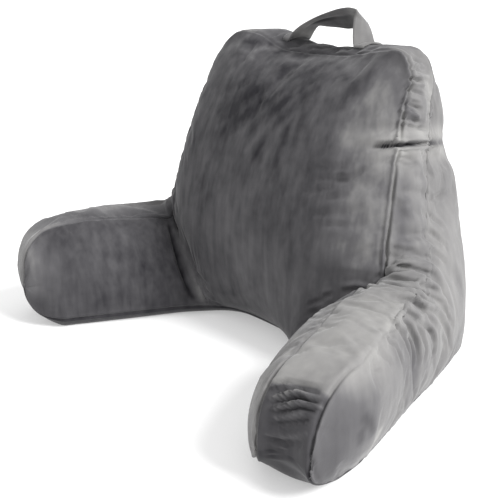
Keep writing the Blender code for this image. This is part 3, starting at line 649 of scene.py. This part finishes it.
def loose_panels():
    """The panels' grids before the cloth settles, sharing their seams, and each row's place."""
    left, crease_left = half_stations(-1)
    right, crease_right = half_stations(1)
    stations = left[::-1] + right[1:]
    columns = [np.array(column) for column in zip(*stations)]
    inner_top, outer_top, inner_foot, outer_foot, fills, places = columns
    last = len(stations) - 1
    creases = (len(left) - 1 - crease_left, len(left) - 1 + crease_right)
    inner = filled_out(between(inner_foot, inner_top, INNER_STEPS), fills[:, 0], (0, last, *creases))
    rear = filled_out(between(outer_top, outer_foot, REAR_STEPS), fills[:, 1], (0, last), tighten=0)
    from_tip = np.minimum(np.arange(last + 1), last - np.arange(last + 1)) / TIP_STEPS
    base_fills = fills[:, 2] + (BASE_FILL - fills[:, 2]) * np.clip(from_tip - BASE_FILL_START, 0, 1)
    strip = between(inner_top, outer_top, BELT_STEPS)
    base = between(inner_foot, outer_foot, BELT_STEPS)
    belt = np.concatenate([strip, base[last - 1 : 0 : -1]])
    belt_fills = np.concatenate([fills[:, 2], base_fills[last - 1 : 0 : -1]])
    belt = filled_out(belt, belt_fills, ring=True)

    rows = [0.0]
    for i in range(last):
        count = max(2, math.ceil(abs(places[i + 1] - places[i]) / ROW_PITCH))
        rows += list(np.linspace(i, i + 1, count + 1)[1:])
    rows = np.array(rows)
    along = spline_matrix(last + 1, rows)
    around = spline_matrix(len(belt), np.concatenate([rows, (2 * last - rows)[-2:0:-1]]), ring=True)

    def finer(grid, matrix, steps, loose):
        across = spline_matrix(steps + 1, loose_columns(steps, loose))
        return np.einsum("ri,ijx,cj->rcx", matrix, grid, across)

    fine_inner = finer(inner, along, INNER_STEPS, LOOSE_STEPS[0])
    fine_rear = finer(rear, along, REAR_STEPS, LOOSE_STEPS[2])
    fine_belt = finer(belt, around, BELT_STEPS, LOOSE_STEPS[1])
    end = len(rows) - 1
    fine_strip = fine_belt[: end + 1]
    fine_base = np.concatenate([fine_belt[:1], fine_belt[:end:-1], fine_belt[end : end + 1]])
    fine_inner[:, -1], fine_inner[:, 0] = fine_strip[:, 0], fine_base[:, 0]
    fine_rear[:, 0], fine_rear[:, -1] = fine_strip[:, -1], fine_base[:, -1]
    shift = np.array([*TO_CENTRE, 0])
    grids = [grid + shift for grid in (fine_inner, fine_strip, fine_rear, fine_base[:, ::-1])]
    return grids, np.interp(rows, np.arange(last + 1), places)


def run_across(grid):
    """Length along each row of the grid, from its first column."""
    steps = np.linalg.norm(np.diff(grid, axis=1), axis=2)
    return np.concatenate([np.zeros((len(grid), 1)), np.cumsum(steps, axis=1)], axis=1)


def refined(grid, steps):
    """The grid with that many faces across, the first few at small, even steps from its seams."""
    runs, rows = run_across(grid), []
    for row, run in zip(grid, runs):
        near = np.array(NEAR_SEAM) * min(1.0, run[-1] / NARROW)
        middle = np.linspace(near[-1], run[-1] - near[-1], steps - 2 * len(near) + 3)[1:-1]
        wanted = np.concatenate([near, middle, (run[-1] - near)[::-1]])
        if run[-1] < TINY:
            rows.append(np.repeat(row[:1], steps + 1, axis=0))
            continue
        wanted = np.interp(wanted, run, np.arange(len(run)))
        rows.append(spline_matrix(len(run), wanted) @ row)
    return np.array(rows)


class Skin:
    """One closed mesh of all the panels, as arrays.

    place: metres along the strip from the middle of the back; across: -1 to 0 up the inner
    panel, 0 to 1 over the strip, 1 to 2 down the rear panel and 2 to 3 under the base;
    down: metres from the strip's inner seam, round the section; seam: metres to the
    nearest seam of the vertex's own panel; panel: that panel's number.
    """

    def __init__(self, grids, places):
        points, place, across, down, seam, panels = [], [], [], [], [], []
        faces, start = [], 0
        strip_run = run_across(grids[1])
        for panel, grid in enumerate(grids):
            rows, columns = grid.shape[:2]
            run = run_across(grid)
            share = run / np.maximum(run[:, -1:], 1e-9)
            points.append(grid.reshape(-1, 3))
            place.append(np.repeat(places, columns))
            across.append((share + panel - 1).ravel())
            back = run - run[:, -1:]
            from_top = (back, run, run + strip_run[:, -1:], back - UNDER_OFFSET)[panel]
            down.append(from_top.ravel())
            seam.append(np.minimum(run, run[:, -1:] - run).ravel())
            panels.append(np.full(rows * columns, panel))
            index = start + np.arange(rows * columns).reshape(rows, columns)
            a, b, c, d = index[:-1, :-1], index[1:, :-1], index[1:, 1:], index[:-1, 1:]
            faces.append(np.stack([a, b, c, d], axis=-1).reshape(-1, 4))
            start += rows * columns
        points, faces = np.concatenate(points), np.concatenate(faces)
        _, first, joined = np.unique(np.round(points, 6), axis=0, return_index=True, return_inverse=True)
        self.points = points[first]
        self.grids, start = [], 0
        for grid in grids:
            size = grid.shape[0] * grid.shape[1]
            self.grids.append(joined.ravel()[start : start + size].reshape(grid.shape[:2]))
            start += size
        self.place, self.across, self.down, self.seam, self.panel = (
            np.concatenate(values)[first] for values in (place, across, down, seam, panels)
        )
        self.places = places
        faces = joined.ravel()[faces]
        self.faces = []
        for face in faces.tolist():
            kept = [v for i, v in enumerate(face) if v != face[i - 1]]
            if len(set(kept)) > 2:
                self.faces.append(kept)

    def raise_by(self, height):
        """Moves each vertex along its normal, but never under the floor."""
        self.points = self.points + height[:, None] * self.normals()
        self.points[:, 2] = np.maximum(self.points[:, 2], 0.0)

    def finer(self):
        """A new skin of the same shape, with more faces across each panel and more rows at the folds."""
        rows, last = [0.0], len(self.places) - 1
        for i in range(last):
            times = max([1] + [count for start, end, count in FINE_ROWS if start < self.places[i] < end])
            rows += [i + (k + 1) / times for k in range(times)]
        matrix = spline_matrix(last + 1, np.array(rows))
        grids = [np.einsum("ri,ijx->rjx", matrix, self.points[grid]) for grid in self.grids]
        places = np.interp(rows, np.arange(last + 1), self.places)
        return Skin([refined(grid, steps) for grid, steps in zip(grids, FINE_STEPS)], places)

    def slow_part(self, moves, held):
        """The broad swell in the moves, apart from their wrinkles."""
        pairs = np.array([(face[i - 1], face[i]) for face in self.faces for i in range(len(face))])
        a, b = np.concatenate([pairs, pairs[:, ::-1]]).T
        count, slow = len(moves), moves.copy()
        links = np.bincount(a, minlength=count)[:, None]
        for _ in range(SLOW_ROUNDS):
            mean = np.stack([np.bincount(a, slow[b, axis], count) for axis in range(3)], axis=1) / links
            slow = (1 - SLOW_STEP) * slow + SLOW_STEP * mean
            slow[held] = 0
        return slow

    def normals(self):
        quads = np.array([face if len(face) == 4 else face + face[-1:] for face in self.faces])
        a, b, c, d = (self.points[quads[:, i]] for i in range(4))
        turned = np.cross(c - a, d - b)
        total = np.zeros_like(self.points)
        for i in range(4):
            for axis in range(3):
                total[:, axis] += np.bincount(quads[:, i], turned[:, axis], len(total))
        return total / np.maximum(np.linalg.norm(total, axis=1, keepdims=True), 1e-12)


def noise_at(points, scale, seed):
    """Smooth noise from -1 to 1 at points, whose features are about scale metres (x, y, z) wide."""
    offset = seed * np.array(NOISE_STEPS)
    return np.array([noise.noise(spot) for spot in points / np.asarray(scale) + offset])


def smooth_step(values, start, end):
    """From 0 at the start to 1 at the end, level at both."""
    t = np.clip((values - start) / (end - start), 0, 1)
    return t * t * (3 - 2 * t)


def bell(values, middle=0.0, width=1.0):
    """A bell curve, 1 at its middle."""
    return np.exp(-(((values - middle) / width) ** 2))


# ---------------------------------------------------------------- cloth
def settled(skin, held, growth):
    """The skin's points after its cloth, cut larger by the growth at each vertex, has settled
    under the filling's pressure; the held vertices stay in place."""
    scene = bpy.context.scene
    mesh = bpy.data.meshes.new("loose")
    mesh.from_pydata(skin.points.tolist(), [], skin.faces)
    loose = bpy.data.objects.new("loose", mesh)
    scene.collection.objects.link(loose)
    group = loose.vertex_groups.new(name="held")
    group.add(held.tolist(), 1.0, "REPLACE")
    exact = loose.vertex_groups.new(name="exact")
    levels = np.round((1 - growth / growth.max()) * GROWTH_LEVELS).astype(int)
    for level in np.unique(levels):
        exact.add(np.flatnonzero(levels == level).tolist(), level / GROWTH_LEVELS, "REPLACE")
    cloth = loose.modifiers.new("cloth", "CLOTH")
    rules = cloth.settings
    for rule, value in CLOTH_RULES.items():
        setattr(rules, rule, value)
    rules.shrink_min, rules.shrink_max = -float(growth.max()), 0.0
    rules.vertex_group_shrink = "exact"
    rules.vertex_group_mass = "held"
    rules.effector_weights.gravity = 0  # the filling carries the cloth
    cloth.collision_settings.use_collision = False
    cloth.point_cache.frame_start, cloth.point_cache.frame_end = 1, SETTLE_FRAMES
    for at in range(1, SETTLE_FRAMES + 1):
        scene.frame_set(at)
    done = loose.evaluated_get(bpy.context.evaluated_depsgraph_get()).to_mesh()
    points = np.empty(len(skin.points) * 3)
    done.vertices.foreach_get("co", points)
    loose.to_mesh_clear()
    scene.frame_set(1)
    bpy.data.objects.remove(loose, do_unlink=True)
    bpy.data.meshes.remove(mesh)
    return points.reshape(-1, 3)


# ---------------------------------------------------------------- camera rays
def camera_matrix():
    azimuth, elevation = (math.radians(a) for a in CAMERA_TURN)
    back = Vector((
        math.sin(azimuth) * math.cos(elevation),
        -math.cos(azimuth) * math.cos(elevation),
        math.sin(elevation),
    ))
    turn = back.to_track_quat("Z", "Y").to_matrix().to_4x4()
    return Matrix.Translation(CAMERA_PLACE) @ turn


def places_seen(tree, pixels):
    """The points of the skin that the camera sees at these pixels of the photograph."""
    found, turn = [], camera_matrix()
    for u, v in pixels:
        across = (u / PICTURE - 0.5) * SENSOR / LENS
        up = (0.5 - v / PICTURE) * SENSOR / LENS
        ray = turn.to_3x3() @ Vector((across, up, -1)).normalized()
        hit = tree.ray_cast(turn.translation, ray)[0]
        if hit is not None:
            found.append(np.array(hit))
    return np.array(found)


# ---------------------------------------------------------------- folds
def fold_height(place, across):
    """How far the main folds raise each vertex; negative in a groove."""
    height = np.zeros(len(place))
    for fold in FOLDS:
        run = fold.place + fold.lean * np.clip(across, 0, 1) + fold.slant * np.maximum(across - 1, 0)
        off = (place * fold.side - run) / fold.width
        ends = np.minimum(across - fold.start, fold.end - across) / FOLD_END
        ends = np.clip(ends, 0, 1) * (place * fold.side > 0)
        shape = FORE_RIM * bell(off, FOLD_RIM) + REAR_RIM * bell(off, -FOLD_RIM) - bell(off)
        height += fold.depth * shape * ends**2 * (3 - 2 * ends)
    return height


def along_curve(points, spots):
    """For each point, the distance to the curve through the spots and the share of it run."""
    places = np.concatenate([[0], np.cumsum(np.linalg.norm(np.diff(spots, axis=0), axis=1))])
    fine = np.linspace(0, places[-1], max(CURVE_LEAST, int(places[-1] / CURVE_PITCH)))
    curve = np.array(curve_through(spots, places, fine))
    nearest, share = np.full(len(points), np.inf), np.zeros(len(points))
    for i in range(len(curve) - 1):
        run = curve[i + 1] - curve[i]
        t = np.clip((points - curve[i]) @ run / (run @ run), 0, 1)
        far = np.linalg.norm(points - curve[i] - t[:, None] * run, axis=1)
        closer = far < nearest
        nearest[closer] = far[closer]
        share[closer] = (i + t[closer]) / (len(curve) - 1)
    return nearest, share


def wrinkle_height(points, tree, wrinkles):
    """How far the folds or wrinkles that the photograph shows raise each vertex."""
    height = np.zeros(len(points))
    for wrinkle in starmap(Wrinkle, wrinkles):
        spots = places_seen(tree, wrinkle.pixels)
        if len(spots) < 2:
            continue
        middle = spots.mean(axis=0)
        reach = np.linalg.norm(spots - middle, axis=1).max() + WRINKLE_REACH * wrinkle.width
        near = np.flatnonzero(np.linalg.norm(points - middle, axis=1) < reach)
        far, share = along_curve(points[near], spots)
        ends = np.clip(np.minimum(share, 1 - share) / wrinkle.fade, 0, 1)
        ends = ends * (2 - ends)
        off = far / wrinkle.width
        shape = bell(off) - RIM_SHARE * bell(off, RIM_PLACE)
        height[near] += wrinkle.height * shape * ends
    return height


def lump_height(skin):
    """Soft lumps of the filling."""
    inside = smooth_step(skin.seam, 0.0, LUMP_EDGE)
    broad = noise_at(skin.points, LUMP_SIZE, 3)
    return inside * LUMP_DEPTH * (broad + SMALL_LUMPS * noise_at(skin.points, SMALL_LUMP_SIZE, 4))


def pucker_height(skin):
    """Small gathers that run into the seams."""
    cloth = np.stack([skin.place, skin.down, np.zeros_like(skin.place)], axis=1)
    near = np.exp(-skin.seam / PUCKER_REACH) * (1 - np.exp(-skin.seam / PUCKER_START))
    near *= np.clip(PUCKER_RISE * np.minimum(skin.across + 1, 2 - skin.across), 0, 1)
    near *= 1 - CALM_ARM * smooth_step(skin.place, *NEAR_ARM_START)
    near *= 1 - smooth_step(np.abs(skin.place), *PUCKER_END)
    height = noise_at(cloth, FINE_PUCKER, 1) + COARSE_SHARE * noise_at(cloth, COARSE_PUCKER, 2)
    return near * PUCKER_DEPTH * height


def sunk_seams(skin):
    """How far the nearest seam is hidden in the pile at each vertex, 0 to 1."""
    far, which = np.abs(skin.place), np.round(skin.across)
    on_arm = smooth_step(far, *ARM_START) * (1 - smooth_step(far, *ARM_FADE))
    on_top = TOP_SUNK * (1 - smooth_step(far, *TOP_END)) * (which == 0)
    on_side = smooth_step(skin.place, *SIDE_START) * (which == 1) * (skin.place < SIDE_END)
    on_far_arm = FAR_ARM_SHOWN * smooth_step(-skin.place, *ARM_START) * (which == 0)
    return np.maximum.reduce([on_arm - on_far_arm, on_top, on_side]) * np.isin(which, (0, 1))


def seam_height(skin):
    """A groove along each seam between two soft lips, and the raised welt of the front panel."""
    far, sunk = np.abs(skin.place), sunk_seams(skin)
    off = skin.seam / SEAM_WIDTH
    height = SEAM_DEPTH * (1 - SUNK * sunk) * (LIP_SHARE * bell(off, LIP_PLACE) - bell(off))
    height += SEAM_FILL * sunk * (far > TOP_END[1]) * bell(skin.seam, 0, SEAM_FILL_REACH)
    height *= 1 - bell(skin.place, TUCK, TUCK_REACH) * (skin.across < TUCK_ACROSS)
    on_welt = (skin.across < 0) * (skin.across > -0.5) * (1 - smooth_step(far, *WELT_END)) * (1 - sunk)
    welt = bell(skin.seam, WELT_PLACE, WELT_WIDTH) - DIP_SHARE * bell(skin.seam, DIP_PLACE, DIP_WIDTH)
    return height + WELT_DEPTH * on_welt * welt


def make_skin(material):
    """The stuffed cover: folded, settled as cloth, and then sewn with its seams and wrinkles."""
    skin = Skin(*loose_panels())
    tree = BVHTree.FromPolygons(skin.points.tolist(), skin.faces)
    height = fold_height(skin.place, skin.across) + wrinkle_height(skin.points, tree, BROAD_FOLDS)
    skin.raise_by(height + LOOSE_LUMPS * lump_height(skin))
    held = np.flatnonzero((skin.seam < TINY) | (skin.across > 2))
    moves = settled(skin, held, growth_of(skin)) - skin.points
    moves -= SWELL_TAKEN * skin.slow_part(moves, held)
    size = np.maximum(np.linalg.norm(moves, axis=1, keepdims=True), 1e-9)
    skin.points += moves * MOST_MOVE * np.tanh(size / MOST_MOVE) / size
    skin.points[:, 2] = np.maximum(skin.points[:, 2], 0.0)
    skin = skin.finer()
    tree = BVHTree.FromPolygons(skin.points.tolist(), skin.faces)
    tone = tone_of(skin, tree)
    height = WRINKLE_SHARE * wrinkle_height(skin.points, tree, WRINKLES)
    height += pucker_height(skin) + seam_height(skin)
    skin.raise_by(height)
    mesh = bpy.data.meshes.new("cover")
    mesh.from_pydata(skin.points.tolist(), [], skin.faces)
    mesh.shade_smooth()
    # the tone holds nap marks, and painted shade and painted light
    put_values(mesh, "tone", tone)
    on_far_arm = smooth_step(-skin.place, *FAR_ARM_START)
    inner = FRONT_STREAKS + (FAR_STREAKS - FRONT_STREAKS) * on_far_arm
    put_values(mesh, "streaky", np.where(skin.panel == INNER_PANEL, inner, REST_STREAKS))
    mesh.materials.append(material)
    made = bpy.data.objects.new("cover", mesh)
    bpy.context.scene.collection.objects.link(made)
    return made, BVHTree.FromPolygons(skin.points.tolist(), skin.faces)


def put_values(mesh, name, values):
    """Stores a number at each vertex for the material."""
    layer = mesh.attributes.new(name, "FLOAT", "POINT")
    layer.data.foreach_set("value", values.astype(np.float32))


def growth_of(skin):
    """How much larger than its place the cloth is cut at each vertex, as a share."""
    growth = np.where(skin.across < 0, *GROWTH[:2])
    bend = bell(np.abs(skin.place), BEND_PLACE, BEND_REACH)
    from_foot = np.minimum(skin.across + 1, 2 - skin.across)
    return (growth + GROWTH[2] * bend * (skin.across > 0)) * smooth_step(from_foot, *GROWTH_RISE)


def tone_of(skin, tree):
    """How much lighter or darker the cloth is painted at each vertex, -1 to 1: by its nap, and by painted
    shade and painted light where the cloth is turned from or to the lamp, in creases and under the pillow.
    """
    fore = smooth_step(-skin.across, -TONE_EDGE, TONE_EDGE)
    fore *= (1 - smooth_step(skin.place, *NEAR_ARM_START)) * (skin.across < 1)
    on_top = 1 - smooth_step(np.abs(skin.place), *TOP_NAP_END)
    on_top *= (skin.across > -TOP_NAP_REACH) * (skin.across < 1)
    fore = np.maximum(fore, TOP_TONE_SHARE * on_top)
    # inner panels darker and the others lighter, partly nap and partly painted shade and painted light
    tone = REST_NAP_AND_LIGHT + (FRONT_NAP_AND_SHADE - REST_NAP_AND_LIGHT) * fore
    # painted shade: the base dark all over, and the near arm's strip on its end face
    tone = np.where(skin.panel == BASE_PANEL, BASE_PAINTED_SHADE, tone)
    shaded_end = smooth_step(skin.place, ARM_END - ARM_END_EDGE, ARM_END + ARM_END_EDGE)
    tone += (ARM_END_PAINTED_SHADE - tone) * shaded_end * (skin.panel == STRIP_PANEL)
    for panel, marks in NAP_AND_SHADE_MARKS.items():
        there = panel is None or skin.panel == panel
        for mark in starmap(NapAndShadeMark, marks):
            spots = places_seen(tree, mark.pixels)
            if len(spots) > 1:
                far = along_curve(skin.points, spots)[0]
                tone += there * mark.tone * bell(far, 0, mark.width)
    return np.where(tone < 0, np.tanh(tone), tone)


# ---------------------------------------------------------------- strap
def make_strap(tree, material):
    """The folded strap, with a stitched line along each edge, on the cover's top."""
    edges = np.array([np.concatenate(pair) for pair in STRAP_EDGES])
    places = np.concatenate([[0], np.cumsum(np.linalg.norm(np.diff(edges[:, :3], axis=0), axis=1))])
    along, across = STRAP_FINE
    edges = np.array(curve_through(edges, places, np.linspace(0, places[-1], along + 1)))
    shares = np.linspace(0, 1, across + 1)
    middle = edges[:, None, :3] * (1 - shares[None, :, None]) + edges[:, None, 3:] * shares[None, :, None]
    middle = middle + np.array([*TO_CENTRE, 0])
    for point in middle.reshape(-1, 3):
        hit = tree.ray_cast((point[0], point[1], SKY), (0, 0, -1))[0]
        if hit is not None:
            point[2] = max(point[2], hit.z + STRAP_LIFT + STRAP_THICKNESS / 2)
    length = float(np.linalg.norm(np.diff(middle[:, across // 2], axis=0), axis=1).sum())
    run = np.gradient(middle, axis=0)
    normal = np.cross(run, np.gradient(middle, axis=1))
    normal /= np.linalg.norm(normal, axis=2, keepdims=True)
    width = float(np.linalg.norm(edges[0, :3] - edges[0, 3:]))
    from_edge = np.minimum(shares, 1 - shares) * width
    inwards = np.clip(from_edge / STRAP_ROUND, 0, 1)
    half = STRAP_THICKNESS / 2 * np.sqrt(np.clip(1 - (1 - inwards) ** 2, BLUNT_EDGE, 1))
    half = half - STITCH_DEPTH * bell(from_edge, STITCH_PLACE, STITCH_WIDTH)
    wave = STRAP_WAVE * noise_at(middle.reshape(-1, 3), STRAP_WAVE_SIZE, 9).reshape(middle.shape[:2])
    middle = middle + normal * wave[..., None] * smooth_step(from_edge, 0, STRAP_WAVE_EDGE)[None, :, None]
    crease = CREASE_HEIGHT * bell(shares, CREASE_PLACE, CREASE_WIDTH)
    runs = np.linspace(0, 1, along + 1)
    raised = bell(runs, CREASE_MIDDLE, CREASE_REACH)
    middle = middle + normal * (raised[:, None] * crease[None, :])[..., None]
    upper, lower = middle + normal * half[None, :, None], middle - normal * half[None, :, None]
    ring = np.concatenate([upper, lower[:, ::-1]], axis=1)
    count = ring.shape[1]
    faces = [
        (i * count + k, (i + 1) * count + k, (i + 1) * count + (k + 1) % count, i * count + (k + 1) % count)
        for i in range(along)
        for k in range(count)
    ]
    faces += [tuple(range(count)), tuple(along * count + k for k in reversed(range(count)))]
    mesh = bpy.data.meshes.new("strap")
    mesh.from_pydata(ring.reshape(-1, 3).tolist(), [], faces)
    mesh.shade_smooth()
    ring_share = np.concatenate([shares, shares[::-1]])
    # painted light on the strap's front band and painted shade on its rear band, which is seen from under
    known, *edge_shades = zip(*STRAP_LIGHT_AND_SHADE)
    front, rear = (np.interp(runs, known, nap)[:, None] for nap in edge_shades)
    turned = smooth_step(ring_share, CREASE_PLACE - CREASE_TURN, CREASE_PLACE + CREASE_TURN)[None, :]
    put_values(mesh, "tone", (front + (rear - front) * turned).ravel())
    put_values(mesh, "streaky", np.full((along + 1) * count, REST_STREAKS))
    mesh.materials.append(material)
    made = bpy.data.objects.new("strap", mesh)
    bpy.context.scene.collection.objects.link(made)
    return made, (width, length)


# ---------------------------------------------------------------- materials
class Nodes:
    """Short calls that add and link shader nodes."""

    def __init__(self, material):
        material.use_nodes = True
        self.tree = material.node_tree
        self.shader = self.tree.nodes["Principled BSDF"]

    def add(self, kind, settings=(), **inputs):
        node = self.tree.nodes.new(kind)
        for name, value in dict(settings).items():
            setattr(node, name, value)
        for name, value in inputs.items():
            self.put(node, name.replace("_", " "), value)
        return node

    def put(self, node, name, value):
        socket = node.inputs[int(name) if name.isdigit() else name]
        if isinstance(value, bpy.types.NodeSocket):
            self.tree.links.new(value, socket)
        else:
            socket.default_value = value

    def math(self, operation, a, b=0.0, c=0.0):
        node = self.tree.nodes.new("ShaderNodeMath")
        node.operation = operation
        for i, value in enumerate((a, b, c)):
            self.put(node, str(i), value)
        return node.outputs[0]

    def attribute(self, name):
        return self.add("ShaderNodeAttribute", {"attribute_name": name})

    def noise(self, place, scale, size, detail=2.0, roughness=0.5):
        """Noise whose features are about size metres wide, stretched by scale."""
        mapping = self.add("ShaderNodeMapping", Vector=place, Scale=tuple(1 / (size * s) for s in scale))
        node = self.add(
            "ShaderNodeTexNoise", Vector=mapping.outputs[0], Scale=1.0, Detail=detail, Roughness=roughness
        )
        return node.outputs[0]


def plush(name, colours):
    """Short-pile velour: crushed nap that runs with the cloth, sheen and a fine pile; its colour follows the
    tone, which also carries painted shade and painted light.
    """
    material = bpy.data.materials.new(name)
    n = Nodes(material)
    place = n.add("ShaderNodeTexCoord").outputs["Object"]
    broad, streaks, crushed = (n.noise(place, *kind) for kind in (BROAD_NAP, STREAK_NAP, CRUSHED_NAP))
    nap = n.math("MULTIPLY_ADD", streaks, STREAK_SHARE, n.math("MULTIPLY", crushed, CRUSHED_SHARE))
    nap = n.math("SUBTRACT", n.math("MULTIPLY_ADD", broad, BROAD_SHARE, nap), NAP_MEAN)
    nap = n.math("MULTIPLY", nap, n.attribute("streaky").outputs["Fac"])
    # the tone: nap marks, and painted shade and painted light
    tone = n.attribute("tone").outputs["Fac"]
    shade = n.math("MULTIPLY_ADD", tone, 0.5, n.math("MULTIPLY_ADD", nap, NAP_CONTRAST, 0.5))
    ramp = n.add("ShaderNodeValToRGB", Fac=shade)
    stops = ramp.color_ramp.elements
    stops.new(0.5)
    for stop, colour in zip(stops, colours):
        stop.color = (*colour, 1)
    n.put(n.shader, "Base Color", ramp.outputs[0])
    n.put(n.shader, "Roughness", n.math("MULTIPLY_ADD", nap, NAP_GLOSS, PLUSH_ROUGHNESS))
    for setting, value in PLUSH_SURFACE.items():
        n.put(n.shader, setting, value)
    pile = n.noise(place, *PILE)
    bump = n.add("ShaderNodeBump", Strength=PILE_BUMP, Distance=PILE_DEPTH, Height=pile)
    lying = n.add(
        "ShaderNodeBump", Strength=NAP_BUMP, Distance=NAP_DEPTH, Height=nap, Normal=bump.outputs[0]
    )
    n.put(n.shader, "Normal", lying.outputs[0])
    return material


def plain(name, colour, roughness):
    material = bpy.data.materials.new(name)
    n = Nodes(material)
    n.put(n.shader, "Base Color", (*colour, 1))
    n.put(n.shader, "Roughness", roughness)
    n.put(n.shader, "Specular IOR Level", PLAIN_SPECULAR)
    return material


# ---------------------------------------------------------------- studio
def make_studio():
    scene = bpy.context.scene
    camera = bpy.data.objects.new("camera", bpy.data.cameras.new("camera"))
    camera.data.lens, camera.data.sensor_width = LENS, SENSOR
    camera.data.sensor_fit = "HORIZONTAL"
    camera.matrix_world = camera_matrix()
    scene.collection.objects.link(camera)
    scene.camera = camera
    towards, strength, width = SUN
    sun = bpy.data.objects.new("softbox", bpy.data.lights.new("softbox", "SUN"))
    sun.data.energy, sun.data.angle = strength, math.radians(width)
    sun.rotation_euler = Vector(towards).to_track_quat("Z", "Y").to_euler()
    scene.collection.objects.link(sun)
    world = bpy.data.worlds.new("studio")
    world.use_nodes = True
    background = world.node_tree.nodes["Background"]
    background.inputs["Color"].default_value = (1, 1, 1, 1)
    background.inputs["Strength"].default_value = WORLD_STRENGTH
    scene.world = world
    scene.view_settings.view_transform = "Standard"
    mesh = bpy.data.meshes.new("floor")
    half = FLOOR_SIZE / 2
    corners = [(-half, -half), (half, -half), (half, half), (-half, half)]
    mesh.from_pydata([(*corner, -FLOOR_DROP) for corner in corners], [], [(0, 1, 2, 3)])
    shade = plain("floor", (FLOOR_SHADE,) * 3, FLOOR_ROUGHNESS)
    shader = shade.node_tree.nodes["Principled BSDF"]
    shader.inputs["Emission Color"].default_value = (1, 1, 1, 1)
    shader.inputs["Emission Strength"].default_value = FLOOR_GLOW
    mesh.materials.append(shade)
    floor = bpy.data.objects.new("floor", mesh)
    scene.collection.objects.link(floor)


# ---------------------------------------------------------------- the object
cover, cover_tree = make_skin(plush("plush_cover", PLUSH_COLOURS))
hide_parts("back_cushion", "arm_left", "arm_right")
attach(cover, "root")

strap, strap_flat = make_strap(cover_tree, plush("plush_strap", STRAP_COLOURS))
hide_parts("handle_strap")
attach(strap, "root")

make_studio()
